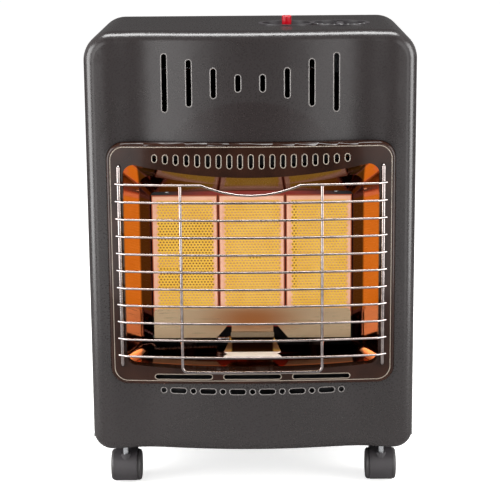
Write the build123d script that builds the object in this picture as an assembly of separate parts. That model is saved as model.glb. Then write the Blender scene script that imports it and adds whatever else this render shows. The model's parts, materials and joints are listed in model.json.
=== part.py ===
from build123d import *
import math
import os

# Indoor cabinet heater for a 9 kg (20 lb) propane cylinder: three glowing ceramic plaques behind
# a wire guard, in a steel cabinet on four twin-wheel casters. Millimetres. X runs to the right as
# seen from the front, Y to the back and Z up from the floor. Everything is drawn with y = 0 near
# the cabinet's front plane, and save() moves it so that the origin is at the middle of the
# footprint.

# Cabinet
WIDTH = 415.0            # across the sides
TOP_Z = 606.0            # top panel above the floor
FOOT_Z = 62.5            # lower edge of the cabinet above the floor
TOP_CORNER_R = 36.0
FOOT_CORNER_R = 24.0
SHEET = 1.2              # steel sheet
FIT = 0.4                # gap between nested sheet parts
SEAM_Y = 19.0            # joint between the front panel and the wrap-around shell
SHELL_BACK_Y = 235.0
JOGGLE = 4.0             # how far the shell reaches into the front panel
BACK_FLANGE = 19.0       # return flange round the back of the shell
LINTEL_HEIGHT = 32.0     # how far the shell's back reaches down over the cylinder bay

# Front panel, in plan: a proud band down each side, a trough and a bowed middle
BAND_WIDTH = 29.5
BAND_PROUD = 5.0
TROUGH_INSET = 57.5      # from the side to the bottom of the trough
FLANK_INSET = 107.5
FLANK_PROUD = 3.2
SHOULDER_INSET = 153.5
SHOULDER_PROUD = 8.9
BOW = 11.5
PANEL_EDGE_R = 14.0
SLOT_DROP = 64.0         # middle of the slots below the top
SLOT_PITCH = 30.6
SLOT_WIDTH = 6.8
SLOT_LENGTHS = (72.6, 58.5, 37.3, 21.3)   # from the outermost slot inwards
VENT_Z = 144.0
VENT_PITCH = 38.2
VENT_HEIGHT = 7.0
DASH_LENGTH = 20.6
DOTS = 7

# Burner bezel
BEZEL_INSET = 26.0       # from the cabinet's side to the bezel's
BEZEL_FOOT_Z = 155.5
BEZEL_DROP = 137.5       # top edge below the top panel
BEZEL_CORNER_R = 22.0
BEZEL_SIDE_PROUD = 9.0
BEZEL_BOW = 17.5
BEZEL_RIM_R = 4.2
BEZEL_FLANGE = 9.0
MOUTH_INSET = 20.5       # from the bezel's side to its opening
MOUTH_DROP = 27.5        # top of the opening below the bezel's top
MOUTH_SAG = 16.5         # and its middle below that
MOUTH_FOOT_Z = 181.0
MOUTH_FOOT_MID_Z = 174.0
MOUTH_R = 14.0
MOUTH_BACK_Y = 2.6
OVALS = 19
OVAL_PITCH = 13.4
OVAL_WIDTH = 5.4
OVAL_DROP = 15.0
OVAL_SHORT = 9.0
OVAL_LONG = 17.5
LONG_SLOT = 73.0
LONG_SLOT_HEIGHT = 6.0
LONG_SLOT_Z = 166.0
LONG_SLOT_PITCH = 88.0
AIR_DASH = 25.0          # dots and dashes along the bezel's top
AIR_DASH_PITCH = 48.4
AIR_DASH_WIDTH = 2.4

# Guard of welded wire
WIRES = 11
WIRE_CHORDS = 18         # short straights that make up a wire's bow
WIRE_DROP = 23.6         # top wire below the top of the opening
WIRE_FOOT_Z = 195.4
WIRE_R = 1.5
WIRE_TIP_INSET = 11.5    # from the bezel's side
WIRE_BEND_INSET = 22.5
WIRE_TIP_Y = -14.5
WIRE_SIDE_Y = -21.0
GUARD_REACH = 34.0       # the guard's foremost point ahead of y = 0
DIP_X = 62.0             # the top wire dips over the middle plaque
DIP_DEPTH = 13.0
HOOP_X = 88.7
HOOP_FOOT_Z = 175.0
HOOP_R = 2.0
HOOP_CORNER = 7.0
POST_INSET = 15.5
POST_R = 2.3
POST_DROP = 2.0
POST_FOOT_Z = 181.0
WELD = 0.5               # depth that welded wires sink into each other

# Reflector: the mouth, a middle bend and the frame round the plaques
REFLECTOR_SHEET = 0.8
REFLECTOR_Y = 3.0
REFLECTOR_FLANGE = 12.0
BEND_Y = 40.0
BEND_INSET = 16.5        # from the mouth's side
BEND_DROP = 23.0
BEND_SAG = 13.0
BEND_FOOT_Z = 184.0
BEND_FOOT_MID_Z = 180.0
REAR_Y = 62.0
REAR_INSET = 29.0        # from the mouth's side
REAR_DROP = 48.0
REAR_FOOT_Z = 186.0

# Burners
PLAQUE_Y = 64.5          # front face of the plaques
PLAQUE_INSET = 78.4      # from the cabinet's side to the outermost plaque
PLAQUE_FOOT_Z = 225.6
PLAQUE_THICK = 13.0
PLAQUE_DROP = 7.4        # top edge below the reflector's rear edge
PLAQUE_GAP = 4.6
PLAQUE_FIT = 0.3
BOX_DEPTH = 38.0
BOX_SETBACK = 3.0        # box edge behind the plaque's face
TUBE_R = 12.0            # mixing tube
TUBE_FOOT_Z = 152.0
BELL_R = 16.0
BELL_HEIGHT = 12.0
BOX_LEDGE = 4.0          # ledge that the plaque's back rests on
RAIL_DEPTH = 36.0
RAIL_LIP = 14.0
CHASSIS_Y = 4.2
CHASSIS_RISE = 9.5       # top edge above the bezel's
CHASSIS_DEPTH = 102.0
WINDOW_MARGIN = 3.0
HEAT_SHIELD_Y = 107.0
HEAT_SHIELD_DROP = 106.0 # top edge below the top panel
HEAT_SHIELD_LIP = 8.0
RAIL_SCREW_INSET = 97.5
SCREW_R = 2.0
SCREW_HEAD_R = 3.6
SCREW_HEAD = 2.0
SCREW_GRIP = 7.0

# Gas train
INJECTOR_BAR_Z = 138.0
INJECTOR_BAR = 2.0
INJECTOR_R = 5.0
INJECTOR_TOP_Z = 149.0
INJECTOR_HEX = 14.0
INJECTOR_HEX_HEIGHT = 8.0
INJECTOR_BAR_MARGIN = 3.0
INJECTOR_BAR_LIP = 14.0
PIPE_R = 3.0
PIPE_Y = 64.0
PIPE_INSET = 47.5
PIPE_STEP = 12.0
PIPE_FOOT_Z = 118.0
PIPE_BEND = 9.0
PIPE_JOG_DROP = 45.0     # the pipes step forward over the heat shield, below the valve's top
PIPE_JOG_CLEAR = 8.0     # end of that step above the heat shield
PIPE_SEAT = 3.0          # length of pipe inside a fitting
PIPE_OUTLET = 6.0        # lowest burner outlet above the valve's foot
INJECTOR_Y = 90.0
VALVE_INSET = 91.5
VALVE_Y = 102.0
VALVE_WIDTH = 40.0
VALVE_DEPTH = 34.0
VALVE_DROP = 26.0        # valve's top below the top panel
VALVE_HEIGHT = 36.0
NECK_R = 9.0
NECK_HEIGHT = 7.0
STEM_R = 4.0
STEM_BORE = 24.0         # depth of the stem's bore below the valve's neck
STEM_SEAT = 4.0          # knob material above the stem
SHAFT_FIT = 0.05
BRACKET_SHEET = 1.5
BRACKET_MARGIN = 6.0
BRACKET_REACH = 24.0     # saddle's feet beyond the valve, front and back
INLET_DROP = 18.0        # below the valve's top
INLET_R = 4.8
INLET_LENGTH = 26.0
INLET_BORE_R = 2.5
INLET_SEAT = 9.0         # length of the hose tail inside the valve
INLET_NUT = 17.0
INLET_NUT_LENGTH = 9.0
PILOT_PIPE_R = 2.0
PILOT_OUTLET = 5.0       # height of the pilot outlet above the valve's foot

# Deflector, pilot shield and pilot
DEFLECTOR_Y = 50.0
DEFLECTOR_INSET = 78.5
DEFLECTOR_TOP_Z = 239.0
DEFLECTOR_FOOT_Z = 199.5
DEFLECTOR_R = 6.0
NOTCH_TOP_Z = 217.0
NOTCH_FOOT_X = 47.0
NOTCH_TOP_X = 32.0
TONGUE_X = 27.3
DEFLECTOR_TAB_X = 90.0
DEFLECTOR_TAB_WIDTH = 16.0
DEFLECTOR_TAB_Z = 209.0
SHIELD_FOOT_X = 37.0
SHIELD_FOOT_Y = 20.0
SHIELD_FOOT_Z = 188.0
SHIELD_LIP_Y = 6.0
SHIELD_LIP_DROP = 2.0
SHIELD_TAB = 8.0         # height that laps the tongue
PILOT_Y = 59.5
PILOT_Z = 196.0
PILOT_R = 3.5
PILOT_LENGTH = 27.0
PILOT_BORE = 12.0
PROBE_Z = 204.0
PROBE_R = 1.6
PROBE_LENGTH = 34.0
ELECTRODE_R = 2.4
ELECTRODE_LENGTH = 22.0
ELECTRODE_TIP = 6.0
ELECTRODE_TIP_R = 0.8
CHEEK_X = 22.0
CHEEK_TOP_Z = 210.0
BRACKET_FOOT_Z = 190.0
BRACKET_TOP_Z = 220.0
BRACKET_DEPTH = 13.0
PILOT_PIPE_Y = 73.0
PILOT_PIPE_X = 46.0

# Controls on the top panel
IGNITER_PITCH = 69.0     # between the knob and the igniter
IGNITER_BOWL_R = 33.0
KNOB_BOWL_R = 35.0
DISH_RIM = 3.5
DISH_RIM_HEIGHT = 1.4
DISH_DEPTH = 15.0
DISH_WALL = 1.6
KNOB_R = 19.0
KNOB_PUSH = 4.0          # travel of the knob when it is pushed in
KNOB_GAP = 0.5
KNOB_HEIGHT = 10.0
KNOB_SKIRT = 4.0
GRIP_WIDTH = 9.0
GRIP_LENGTH = 32.0
BUTTON_R = 6.2
BUTTON_FIT = 0.08
BUTTON_PROUD = 10.5
BUTTON_LENGTH = 26.0
BUTTON_TRAVEL = 5.0
IGNITER_R = 8.5
IGNITER_NUT_R = 10.5
IGNITER_NUT = 3.0
IGNITER_LENGTH = 44.0
SPRING_LENGTH = BUTTON_TRAVEL + 7.0   # the closed coil is 7 long at most
SPRING_R = 4.2
SPRING_WIRE_R = 0.45
SPRING_TURNS = 5

# Base tray and rear cover
TRAY_WALL_Z = 80.0
REAR_REACH = 430.0       # back of the rear cover behind y = 0
COVER_INSET = 8.0        # inside the cabinet's side
COVER_CORNER_R = 60.0
COVER_DROP = 23.0        # below the top panel
COVER_TOP_R = 24.0
COVER_GAP = 1.0
HINGE_INSET = 4.0
HINGE_SETBACK = 4.5      # behind the shell's back
HINGE_R = 3.0
HINGE_PIN_R = 1.5
HINGE_FOOT_RISE = 69.0   # lower hinge above the cover's foot
HINGE_TOP_DROP = 93.0    # upper hinge below the cover's top
KNUCKLE = 20.0
HINGE_HEAD = 1.5
RUNNING_GAP = 0.3
CATCH_Z = 330.0
CATCH_HEIGHT = 24.0
CATCH_DEPTH = 12.0
CATCH_WIDTH = 14.0
CATCH_GAP = 0.5
COVER_SLOTS = 7
COVER_SLOT_PITCH = 30.0
COVER_SLOT = 60.0
COVER_SLOT_WIDTH = 7.0
COVER_SLOT_TOP_DROP = 190.0  # middle of the upper row below the cover's top
COVER_SLOT_RISE = 60.0       # middle of the lower row above its foot

# Twin-wheel casters
CASTER_INSET = 37.5
CASTER_FRONT_Y = 47.0
CASTER_REAR_INSET = 58.0 # ahead of the rear cover's back
WHEEL_R = 21.0
WHEEL_WIDTH = 13.2
WHEEL_GAP = 14.0         # between the two wheels
WHEEL_ROUND = 4.0
AXLE_R = 3.0
TRAIL = 14.0             # axle behind the stem
HOOD_R = 24.5
HOOD_SHEET = 2.4
HOOD_WIDTH = 29.0
HOOD_FOOT_Z = 5.0
BOSS_R = 6.6
BOSS_TOP_Z = 42.0
STEM_FOOT_Z = 26.0
CASTER_STEM_R = 4.0
STEM_PROUD = 0.6         # pin above its socket
COLLAR_R = 8.0
COLLAR = 2.5
SOCKET_R = 8.0
SOCKET_DROP = 2.0        # below the tray's wall, which the swinging cover clears

# Worked out from the above
HALF = WIDTH / 2
SLAB_HALF = HALF + PANEL_EDGE_R
LINTEL_Z = TOP_Z - LINTEL_HEIGHT
SLOT_Z = TOP_Z - SLOT_DROP
BEZEL_X = HALF - BEZEL_INSET
BEZEL_TOP_Z = TOP_Z - BEZEL_DROP
OVAL_TOP_Z = BEZEL_TOP_Z - OVAL_DROP
MOUTH_TOP_Z = BEZEL_TOP_Z - MOUTH_DROP
MOUTH_TOP_MID_Z = MOUTH_TOP_Z - MOUTH_SAG
BEND_TOP_Z = MOUTH_TOP_Z - BEND_DROP
BEND_TOP_MID_Z = BEND_TOP_Z - BEND_SAG
REAR_TOP_Z = MOUTH_TOP_Z - REAR_DROP
WIRE_TOP_Z = MOUTH_TOP_Z - WIRE_DROP
WIRE_PITCH = (WIRE_TOP_Z - WIRE_FOOT_Z) / (WIRES - 1)
POST_TOP_Z = MOUTH_TOP_Z - POST_DROP
PLAQUE_TOP_Z = REAR_TOP_Z - PLAQUE_DROP
CHASSIS_TOP_Z = BEZEL_TOP_Z + CHASSIS_RISE
MOUTH_X = BEZEL_X - MOUTH_INSET
WIRE_TIP_X = BEZEL_X - WIRE_TIP_INSET
WIRE_BEND_X = BEZEL_X - WIRE_BEND_INSET
POST_X = BEZEL_X - POST_INSET
BEND_X = MOUTH_X - BEND_INSET
REAR_X = MOUTH_X - REAR_INSET
PLAQUE_WIDTH = 2 * (HALF - PLAQUE_INSET - PLAQUE_GAP) / 3
DEFLECTOR_X = HALF - DEFLECTOR_INSET
RAIL_SCREW_X = HALF - RAIL_SCREW_INSET
PIPE_X = HALF - PIPE_INSET
VALVE_X = HALF - VALVE_INSET
IGNITER_X = VALVE_X - IGNITER_PITCH
CASTER_X = HALF - CASTER_INSET
CASTER_REAR_Y = REAR_REACH - CASTER_REAR_INSET
COVER_X = HALF - COVER_INSET
HINGE_X = HINGE_INSET - HALF
HINGE_Y = SHELL_BACK_Y + HINGE_SETBACK
COVER_TOP_Z = TOP_Z - COVER_DROP
VALVE_TOP_Z = TOP_Z - VALVE_DROP
INLET_Z = VALVE_TOP_Z - INLET_DROP
HEAT_SHIELD_TOP_Z = TOP_Z - HEAT_SHIELD_DROP
PIPE_JOG_TOP_Z = VALVE_TOP_Z - PIPE_JOG_DROP
PIPE_JOG_FOOT_Z = HEAT_SHIELD_TOP_Z + PIPE_JOG_CLEAR
SOCKET_TOP_Z = TRAY_WALL_Z - SOCKET_DROP
STEM_TOP_Z = SOCKET_TOP_Z + STEM_PROUD
DATUM_Y = (GUARD_REACH - REAR_REACH) / 2
TRAY_INSET = SHEET + FIT
TRAY_Z = FOOT_Z + TRAY_INSET
FLOOR_Z = TRAY_Z + SHEET
CHASSIS_X = HALF - 2 * SHEET - 2 * FIT
PLAQUE_PITCH = PLAQUE_WIDTH + PLAQUE_GAP
BOX_Y = PLAQUE_Y + BOX_SETBACK
BOX_MARGIN = PLAQUE_FIT + SHEET
BOX_TOP_Z = PLAQUE_TOP_Z + BOX_MARGIN
BOX_FOOT_Z = PLAQUE_FOOT_Z - BOX_MARGIN
BURNERS = {"left": -PLAQUE_PITCH, "middle": 0.0, "right": PLAQUE_PITCH}
DISH_Y = VALVE_Y
DISH_FLOOR_Z = TOP_Z - DISH_DEPTH
KNOB_FOOT_Z = DISH_FLOOR_Z + DISH_WALL + KNOB_PUSH + KNOB_GAP
IGNITER_TOP_Z = DISH_FLOOR_Z + DISH_WALL + IGNITER_NUT
BUTTON_TOP_Z = TOP_Z + BUTTON_PROUD
BUTTON_FOOT_Z = BUTTON_TOP_Z - BUTTON_LENGTH
SPRING_FOOT_Z = BUTTON_FOOT_Z - SPRING_LENGTH
COVER_FOOT_Z = TRAY_WALL_Z + COVER_GAP
COVER_Y = SHELL_BACK_Y + COVER_GAP
HINGE_ZS = (COVER_FOOT_Z + HINGE_FOOT_RISE, COVER_TOP_Z - HINGE_TOP_DROP)
TRAY_FRONT_Y = SEAM_Y + 2 * FIT + SHEET
TRAY_BACK_Y = REAR_REACH - COVER_GAP
CHASSIS_FOOT_Z = FOOT_Z + FOOT_CORNER_R
AXLE_Z = WHEEL_R
BRACKET_Z = VALVE_TOP_Z
SIDE_SCREWS_Y = (CASTER_FRONT_Y - 20.0, SHELL_BACK_Y - 30.0)
SIDE_SCREW_Z = TRAY_WALL_Z - 4.0


def save(node, shape):
    """Write one node, moved from the drawing frame to the part's own frame."""
    placed = Pos(0, DATUM_Y, 0) * shape
    solids = placed.solids()
    body = solids[0] if len(solids) == 1 else Compound(children=list(solids))
    export_step(body, f"parts/{node}.step")


# Drawing helpers

def along_y(sketch, y0, y1):
    """Extrude an elevation (x, z) from y0 back to y1."""
    return extrude(Plane.XZ.offset(-y1) * sketch, amount=y1 - y0)


def along_z(sketch, z0, z1):
    """Extrude a plan (x, y) from z0 up to z1."""
    return extrude(Plane.XY.offset(z0) * sketch, amount=z1 - z0)


def along_x(sketch, x0, x1):
    """Extrude a side view (y, z) from x0 to x1."""
    return extrude(Plane.YZ.offset(x0) * sketch, amount=x1 - x0)


def block(x0, x1, y0, y1, z0, z1):
    middle = Pos((x0 + x1) / 2, (y0 + y1) / 2, (z0 + z1) / 2)
    return middle * Box(x1 - x0, y1 - y0, z1 - z0)


def upright(x, y, radius, z0, z1):
    """Cylinder standing at x, y."""
    return Pos(x, y, (z0 + z1) / 2) * Cylinder(radius, z1 - z0)


def lying_x(x0, x1, y, z, radius):
    return Pos((x0 + x1) / 2, y, z) * Rot(0, 90, 0) * Cylinder(radius, x1 - x0)


def lying_y(x, y0, y1, z, radius):
    return Pos(x, (y0 + y1) / 2, z) * Rot(90, 0, 0) * Cylinder(radius, y1 - y0)


def hexagon_y(x, y0, y1, z, across):
    """Nut along Y, `across` its flats."""
    return along_y(Pos(x, z) * RegularPolygon(across / 2, 6, major_radius=False), y0, y1)


def rounded(half, z0, z1, top_r, foot_r):
    """Elevation of the cabinet's kind: a rectangle with its own top and foot corner radii."""
    outline = Pos(0, (z0 + z1) / 2) * Rectangle(2 * half, z1 - z0)
    outline = fillet(outline.vertices().group_by(Axis.Y)[-1], top_r)
    return fillet(outline.vertices().group_by(Axis.Y)[0], foot_r)


def plan(half, y0, y1, back_r):
    """Plan with square front corners and rounded rear ones."""
    outline = Pos(0, (y0 + y1) / 2) * Rectangle(2 * half, y1 - y0)
    return fillet(outline.vertices().group_by(Axis.Y)[-1], back_r)


def slab(front, back):
    """Full-width slab between two lines drawn in plan, tall enough for any front piece."""
    ends = [Line(front[0] @ 0, back[0] @ 0), Line(front[-1] @ 1, back[-1] @ 1)]
    return along_z(make_face([*front, *ends, *back]), 0, TOP_Z + TOP_CORNER_R)


def flat_line(y):
    return [Line((-SLAB_HALF, y), (SLAB_HALF, y))]


def panel_line(step):
    """Front of the panel in plan, `step` behind its outer skin."""
    side = (
        (SLAB_HALF, -BAND_PROUD),
        (HALF - BAND_WIDTH / 2, -BAND_PROUD),
        (HALF - BAND_WIDTH, -BAND_PROUD),
        (HALF - TROUGH_INSET, 0.0),
        (HALF - FLANK_INSET, -FLANK_PROUD),
        (HALF - SHOULDER_INSET, -SHOULDER_PROUD),
    )
    points = [(-x, y + step) for x, y in side] + [(0, -BOW + step)]
    points += [(x, y + step) for x, y in reversed(side)]
    return [Spline(*points, tangents=((1, 0), (1, 0)))]


def bezel_y(x, step=0.0):
    """Face of the bezel in plan at x."""
    rise = BEZEL_BOW - BEZEL_SIDE_PROUD
    radius = (BEZEL_X**2 + rise**2) / (2 * rise)
    return step - BEZEL_BOW + radius - math.sqrt(radius**2 - x**2)


def bezel_line(step):
    end = bezel_y(SLAB_HALF, step)
    return [ThreePointArc((-SLAB_HALF, end), (0, bezel_y(0, step)), (SLAB_HALF, end))]


def front_rim(body):
    """Edges round the front of a dished piece."""
    fronts = [face for face in body.faces() if face.normal_at().Y < -0.8]
    edges = [edge for face in fronts for edge in face.edges()]
    return [edge for edge in edges if sum(edge.is_same(other) for other in edges) == 1]


def dished(outline, front, back, edge_r):
    body = along_y(outline, -GUARD_REACH, SHELL_BACK_Y) & slab(front, back)
    return fillet(front_rim(body), edge_r)


def mouth(y, half, foot_z, foot_mid, top_z, top_mid, radius):
    """Opening of the burner at y: upright sides, and a top and foot that sag in the middle."""
    inner = half - radius
    corner = radius * (1 - math.sqrt(0.5))
    edges = []
    for end_z, mid_z, turn in ((foot_z, foot_mid, 1), (top_z, top_mid, -1)):
        edges.append(ThreePointArc((-inner, end_z), (0, mid_z), (inner, end_z)))
        for side in (-1, 1):
            start = (side * inner, end_z)
            middle = (side * (half - corner), end_z + turn * corner)
            end = (side * half, end_z + turn * radius)
            edges.append(ThreePointArc(start, middle, end))
    for side in (-1, 1):
        edges.append(Line((side * half, foot_z + radius), (side * half, top_z - radius)))
    return Plane.XZ.offset(-y) * make_face(edges)


def tube_path(points, bend):
    """Path through points with an arc of radius `bend` at each turn."""
    corners = [Vector(*point) for point in points]
    edges = []
    start = corners[0]
    for before, corner, after in zip(corners, corners[1:], corners[2:]):
        into = (corner - before).normalized()
        out = (after - corner).normalized()
        turn = math.acos(max(-1.0, min(1.0, into.dot(out))))
        cut = bend * math.tan(turn / 2)
        inward = (out - into).normalized()
        centre = corner + inward * (bend / math.cos(turn / 2))
        edges.append(Line(start, corner - into * cut))
        edges.append(ThreePointArc(corner - into * cut, centre - inward * bend, corner + out * cut))
        start = corner + out * cut
    edges.append(Line(start, corners[-1]))
    return Wire(edges)


def rod(path, radius, corners=Transition.TRANSFORMED):
    """Round wire or tube swept along a path."""
    return sweep(Plane(origin=path @ 0, z_dir=path % 0) * Circle(radius), path, transition=corners)


def curl(start, along, toward, angle, radius):
    """Arc that leaves `start` in the direction `along` and turns by `angle` towards `toward`."""
    centre = start + toward * radius

    def at(turn):
        return centre + (along * math.sin(turn) - toward * math.cos(turn)) * radius

    return ThreePointArc(start, at(angle / 2), at(angle))


def screw_x(side, y, z, seat_x):
    """Pan-head screw driven inwards from one side; seat_x is the face under its head."""
    head = lying_x(0, SCREW_HEAD, y, z, SCREW_HEAD_R)
    shank = lying_x(-SCREW_GRIP, 0, y, z, SCREW_R)
    screw = Pos(seat_x, 0, 0) * (head + shank)
    return screw if side > 0 else mirror(screw, Plane.YZ)


# Cabinet

def panel_openings():
    """Cuts in the front panel: slots, vents and the opening for the bezel."""
    opening = rounded(BEZEL_X + FIT, BEZEL_FOOT_Z - FIT, BEZEL_TOP_Z + FIT, BEZEL_CORNER_R, BEZEL_CORNER_R)
    for index, length in enumerate(SLOT_LENGTHS):
        x = (len(SLOT_LENGTHS) - index - 0.5) * SLOT_PITCH
        for side in (-1, 1):
            opening += Pos(side * x, SLOT_Z) * SlotOverall(length, SLOT_WIDTH, rotation=90)
    for index in range(DOTS):
        x = (index - (DOTS - 1) / 2) * VENT_PITCH
        opening += Pos(x, VENT_Z) * Circle(VENT_HEIGHT / 2)
        if index:
            opening += Pos(x - VENT_PITCH / 2, VENT_Z) * SlotOverall(DASH_LENGTH, VENT_HEIGHT)
    return opening


def front_panel():
    outer = rounded(HALF, FOOT_Z, TOP_Z, TOP_CORNER_R, FOOT_CORNER_R)
    inner = rounded(HALF - SHEET, FOOT_Z + SHEET, TOP_Z - SHEET, TOP_CORNER_R - SHEET, FOOT_CORNER_R - SHEET)
    skin = dished(outer, panel_line(0), flat_line(SEAM_Y), PANEL_EDGE_R)
    hollow = dished(inner, panel_line(SHEET), flat_line(SEAM_Y), PANEL_EDGE_R - SHEET)
    return skin - hollow - along_y(panel_openings(), -GUARD_REACH, SEAM_Y)


def dish_outline(grow):
    """Figure of two overlapping circles, for the igniter and the knob."""
    igniter = Pos(IGNITER_X, DISH_Y) * Circle(IGNITER_BOWL_R + grow)
    return igniter + Pos(VALVE_X, DISH_Y) * Circle(KNOB_BOWL_R + grow)


def cabinet_shell():
    def outline(inset):
        return rounded(
            HALF - inset, FOOT_Z + inset, TOP_Z - inset, TOP_CORNER_R - inset, FOOT_CORNER_R - inset
        )

    def ring(outer_inset, inner_inset, y0, y1):
        return along_y(outline(outer_inset), y0, y1) - along_y(outline(inner_inset), y0, y1)

    front = SEAM_Y + FIT
    shell = ring(0, SHEET, front, SHELL_BACK_Y)
    shell += ring(SHEET + FIT / 2, 2 * SHEET + FIT / 2, SEAM_Y - JOGGLE, front + JOGGLE)
    shell += ring(0, 2 * SHEET + FIT / 2, front, front + SHEET)
    shell += ring(0, BACK_FLANGE, SHELL_BACK_Y - SHEET, SHELL_BACK_Y)
    lintel = along_y(outline(SHEET / 2), SHELL_BACK_Y - SHEET, SHELL_BACK_Y)
    shell += lintel & block(-HALF, HALF, 0, SHELL_BACK_Y, LINTEL_Z, TOP_Z)
    foot_x = HALF - FOOT_CORNER_R
    shell -= block(-foot_x, foot_x, SEAM_Y - JOGGLE, SHELL_BACK_Y, 0, FOOT_Z + BACK_FLANGE)
    shell -= tray_room() & block(-HALF, HALF, SEAM_Y - JOGGLE, SHELL_BACK_Y, 0, TRAY_WALL_Z + FIT)
    shell -= along_z(dish_outline(FIT), TOP_Z - 3 * SHEET, TOP_Z)
    for y in SIDE_SCREWS_Y:
        shell -= lying_x(-HALF, HALF, y, SIDE_SCREW_Z, SCREW_R + SHAFT_FIT)
    return shell


def tray_room():
    """Inside of the shell's skin, which the tray's ends need clear."""
    radius = FOOT_CORNER_R - SHEET
    return along_y(rounded(HALF - SHEET, FOOT_Z + SHEET, TOP_Z, TOP_CORNER_R, radius), 0, SHELL_BACK_Y)


def tray_tub(inset):
    """Solid of the base tray's shape, inset from its outside."""
    outline = rounded(
        HALF - TRAY_INSET - inset, TRAY_Z + inset, TOP_Z, TOP_CORNER_R, FOOT_CORNER_R - TRAY_INSET - inset
    )
    front = TRAY_FRONT_Y + inset
    tub = along_y(outline, front, TRAY_BACK_Y - inset)
    allowed = along_z(plan(HALF, 0, SHELL_BACK_Y - SHEET - FIT - inset, FIT), 0, TOP_Z)
    allowed += along_z(plan(COVER_X - inset, front, TRAY_BACK_Y - inset, COVER_CORNER_R - inset), 0, TOP_Z)
    return tub & allowed & block(-HALF, HALF, 0, REAR_REACH, 0, TRAY_WALL_Z + inset)


def caster_places():
    """Stem position of every caster."""
    return {
        f"{end}_{side}": (sign * CASTER_X, y)
        for end, y in (("front", CASTER_FRONT_Y), ("rear", CASTER_REAR_Y))
        for side, sign in (("left", -1), ("right", 1))
    }


def base_tray():
    tray = tray_tub(0) - tray_tub(SHEET)
    for x, y in caster_places().values():
        tray -= upright(x, y, CASTER_STEM_R + 2, 0, TOP_Z / 2)
    for y in SIDE_SCREWS_Y:
        tray -= lying_x(-HALF, HALF, y, SIDE_SCREW_Z, SCREW_R + SHAFT_FIT)
    return tray


def cabinet_screws():
    return [screw_x(side, y, SIDE_SCREW_Z, HALF) for side in (-1, 1) for y in SIDE_SCREWS_Y]


def heat_shield():
    """Wall between the burner and the cylinder bay, with air slots low down."""
    half = CHASSIS_X
    wall = block(-half, half, HEAT_SHIELD_Y, HEAT_SHIELD_Y + SHEET, FLOOR_Z + FIT / 2, HEAT_SHIELD_TOP_Z)
    lip_z = HEAT_SHIELD_TOP_Z - SHEET
    wall += block(
        -half, half, HEAT_SHIELD_Y - HEAT_SHIELD_LIP, HEAT_SHIELD_Y, lip_z, HEAT_SHIELD_TOP_Z
    )
    corner = FOOT_CORNER_R
    for side in (-1, 1):
        x0, x1 = sorted((side * half, side * (half - corner)))
        wall -= block(x0, x1, HEAT_SHIELD_Y - SHEET, HEAT_SHIELD_Y + 2 * SHEET, 0, FLOOR_Z + corner)
    for index in range(-3, 4):
        slot = Pos(index * 40, VENT_Z - 40) * SlotOverall(28, 8)
        wall -= along_y(slot, HEAT_SHIELD_Y, HEAT_SHIELD_Y + SHEET)
    return wall


# Rear cover and its hinges

def cover_body(inset):
    top = COVER_TOP_Z - inset
    outline = plan(COVER_X - inset, COVER_Y, REAR_REACH - inset, COVER_CORNER_R - inset)
    body = along_z(outline, COVER_FOOT_Z, top)
    rim = [edge for edge in body.faces().sort_by(Axis.Z)[-1].edges() if (edge @ 0.5).Y > COVER_Y + 1]
    return fillet(rim, COVER_TOP_R - inset)


def rear_cover():
    cover = cover_body(0) - cover_body(SHEET)
    for index in range(COVER_SLOTS):
        x = (index - (COVER_SLOTS - 1) / 2) * COVER_SLOT_PITCH
        for z in (COVER_TOP_Z - COVER_SLOT_TOP_DROP, COVER_FOOT_Z + COVER_SLOT_RISE):
            slot = Pos(x, z) * SlotOverall(COVER_SLOT, COVER_SLOT_WIDTH, rotation=90)
            cover -= along_y(slot, REAR_REACH - 2 * SHEET, REAR_REACH)
    inner_x = -COVER_X + SHEET
    for z in HINGE_ZS:
        z0 = z + KNUCKLE / 2 + RUNNING_GAP
        knuckle = upright(HINGE_X, HINGE_Y, HINGE_R, z0, z0 + KNUCKLE)
        knuckle += block(HINGE_X, inner_x, HINGE_Y - SHEET / 2, HINGE_Y + SHEET / 2, z0, z0 + KNUCKLE)
        cover += knuckle
        cover -= upright(HINGE_X, HINGE_Y, HINGE_PIN_R + SHAFT_FIT, z0, z0 + KNUCKLE)
    return cover


def rear_hinges():
    """Two fixed leaves welded to the shell's back flange."""
    leaves = []
    for z in HINGE_ZS:
        z0, z1 = z - KNUCKLE / 2, z + KNUCKLE / 2
        leaf = upright(HINGE_X, HINGE_Y, HINGE_R, z0, z1)
        leaf += block(HINGE_X - HINGE_R, HINGE_X + HINGE_R, SHELL_BACK_Y, HINGE_Y, z0, z1)
        leaves.append(leaf - upright(HINGE_X, HINGE_Y, HINGE_PIN_R, z0, z1))
    return leaves


def rear_hinge_pins():
    pins = []
    for z in HINGE_ZS:
        top = z + KNUCKLE * 1.5 + 2 * RUNNING_GAP
        pin = upright(HINGE_X, HINGE_Y, HINGE_PIN_R, z - KNUCKLE / 2, top)
        pins.append(pin + upright(HINGE_X, HINGE_Y, HINGE_R - 0.3, top, top + HINGE_HEAD))
    return pins


def cover_catch():
    """Magnetic catch on the shell's back flange, beside the cover's free edge."""
    x1 = COVER_X - SHEET - CATCH_GAP
    z0 = CATCH_Z - CATCH_HEIGHT / 2
    return block(x1 - CATCH_WIDTH, x1, SHELL_BACK_Y, SHELL_BACK_Y + CATCH_DEPTH, z0, z0 + CATCH_HEIGHT)


# Bezel, guard and reflector

def bezel_mouth(y, grow=0.0):
    return mouth(
        y, MOUTH_X + grow, MOUTH_FOOT_Z - grow, MOUTH_FOOT_MID_Z - grow,
        MOUTH_TOP_Z + grow, MOUTH_TOP_MID_Z + grow, MOUTH_R + grow,
    )


def mouth_prism(grow, y0, y1):
    return extrude(bezel_mouth(y1, grow), amount=y1 - y0, dir=(0, -1, 0))


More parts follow.
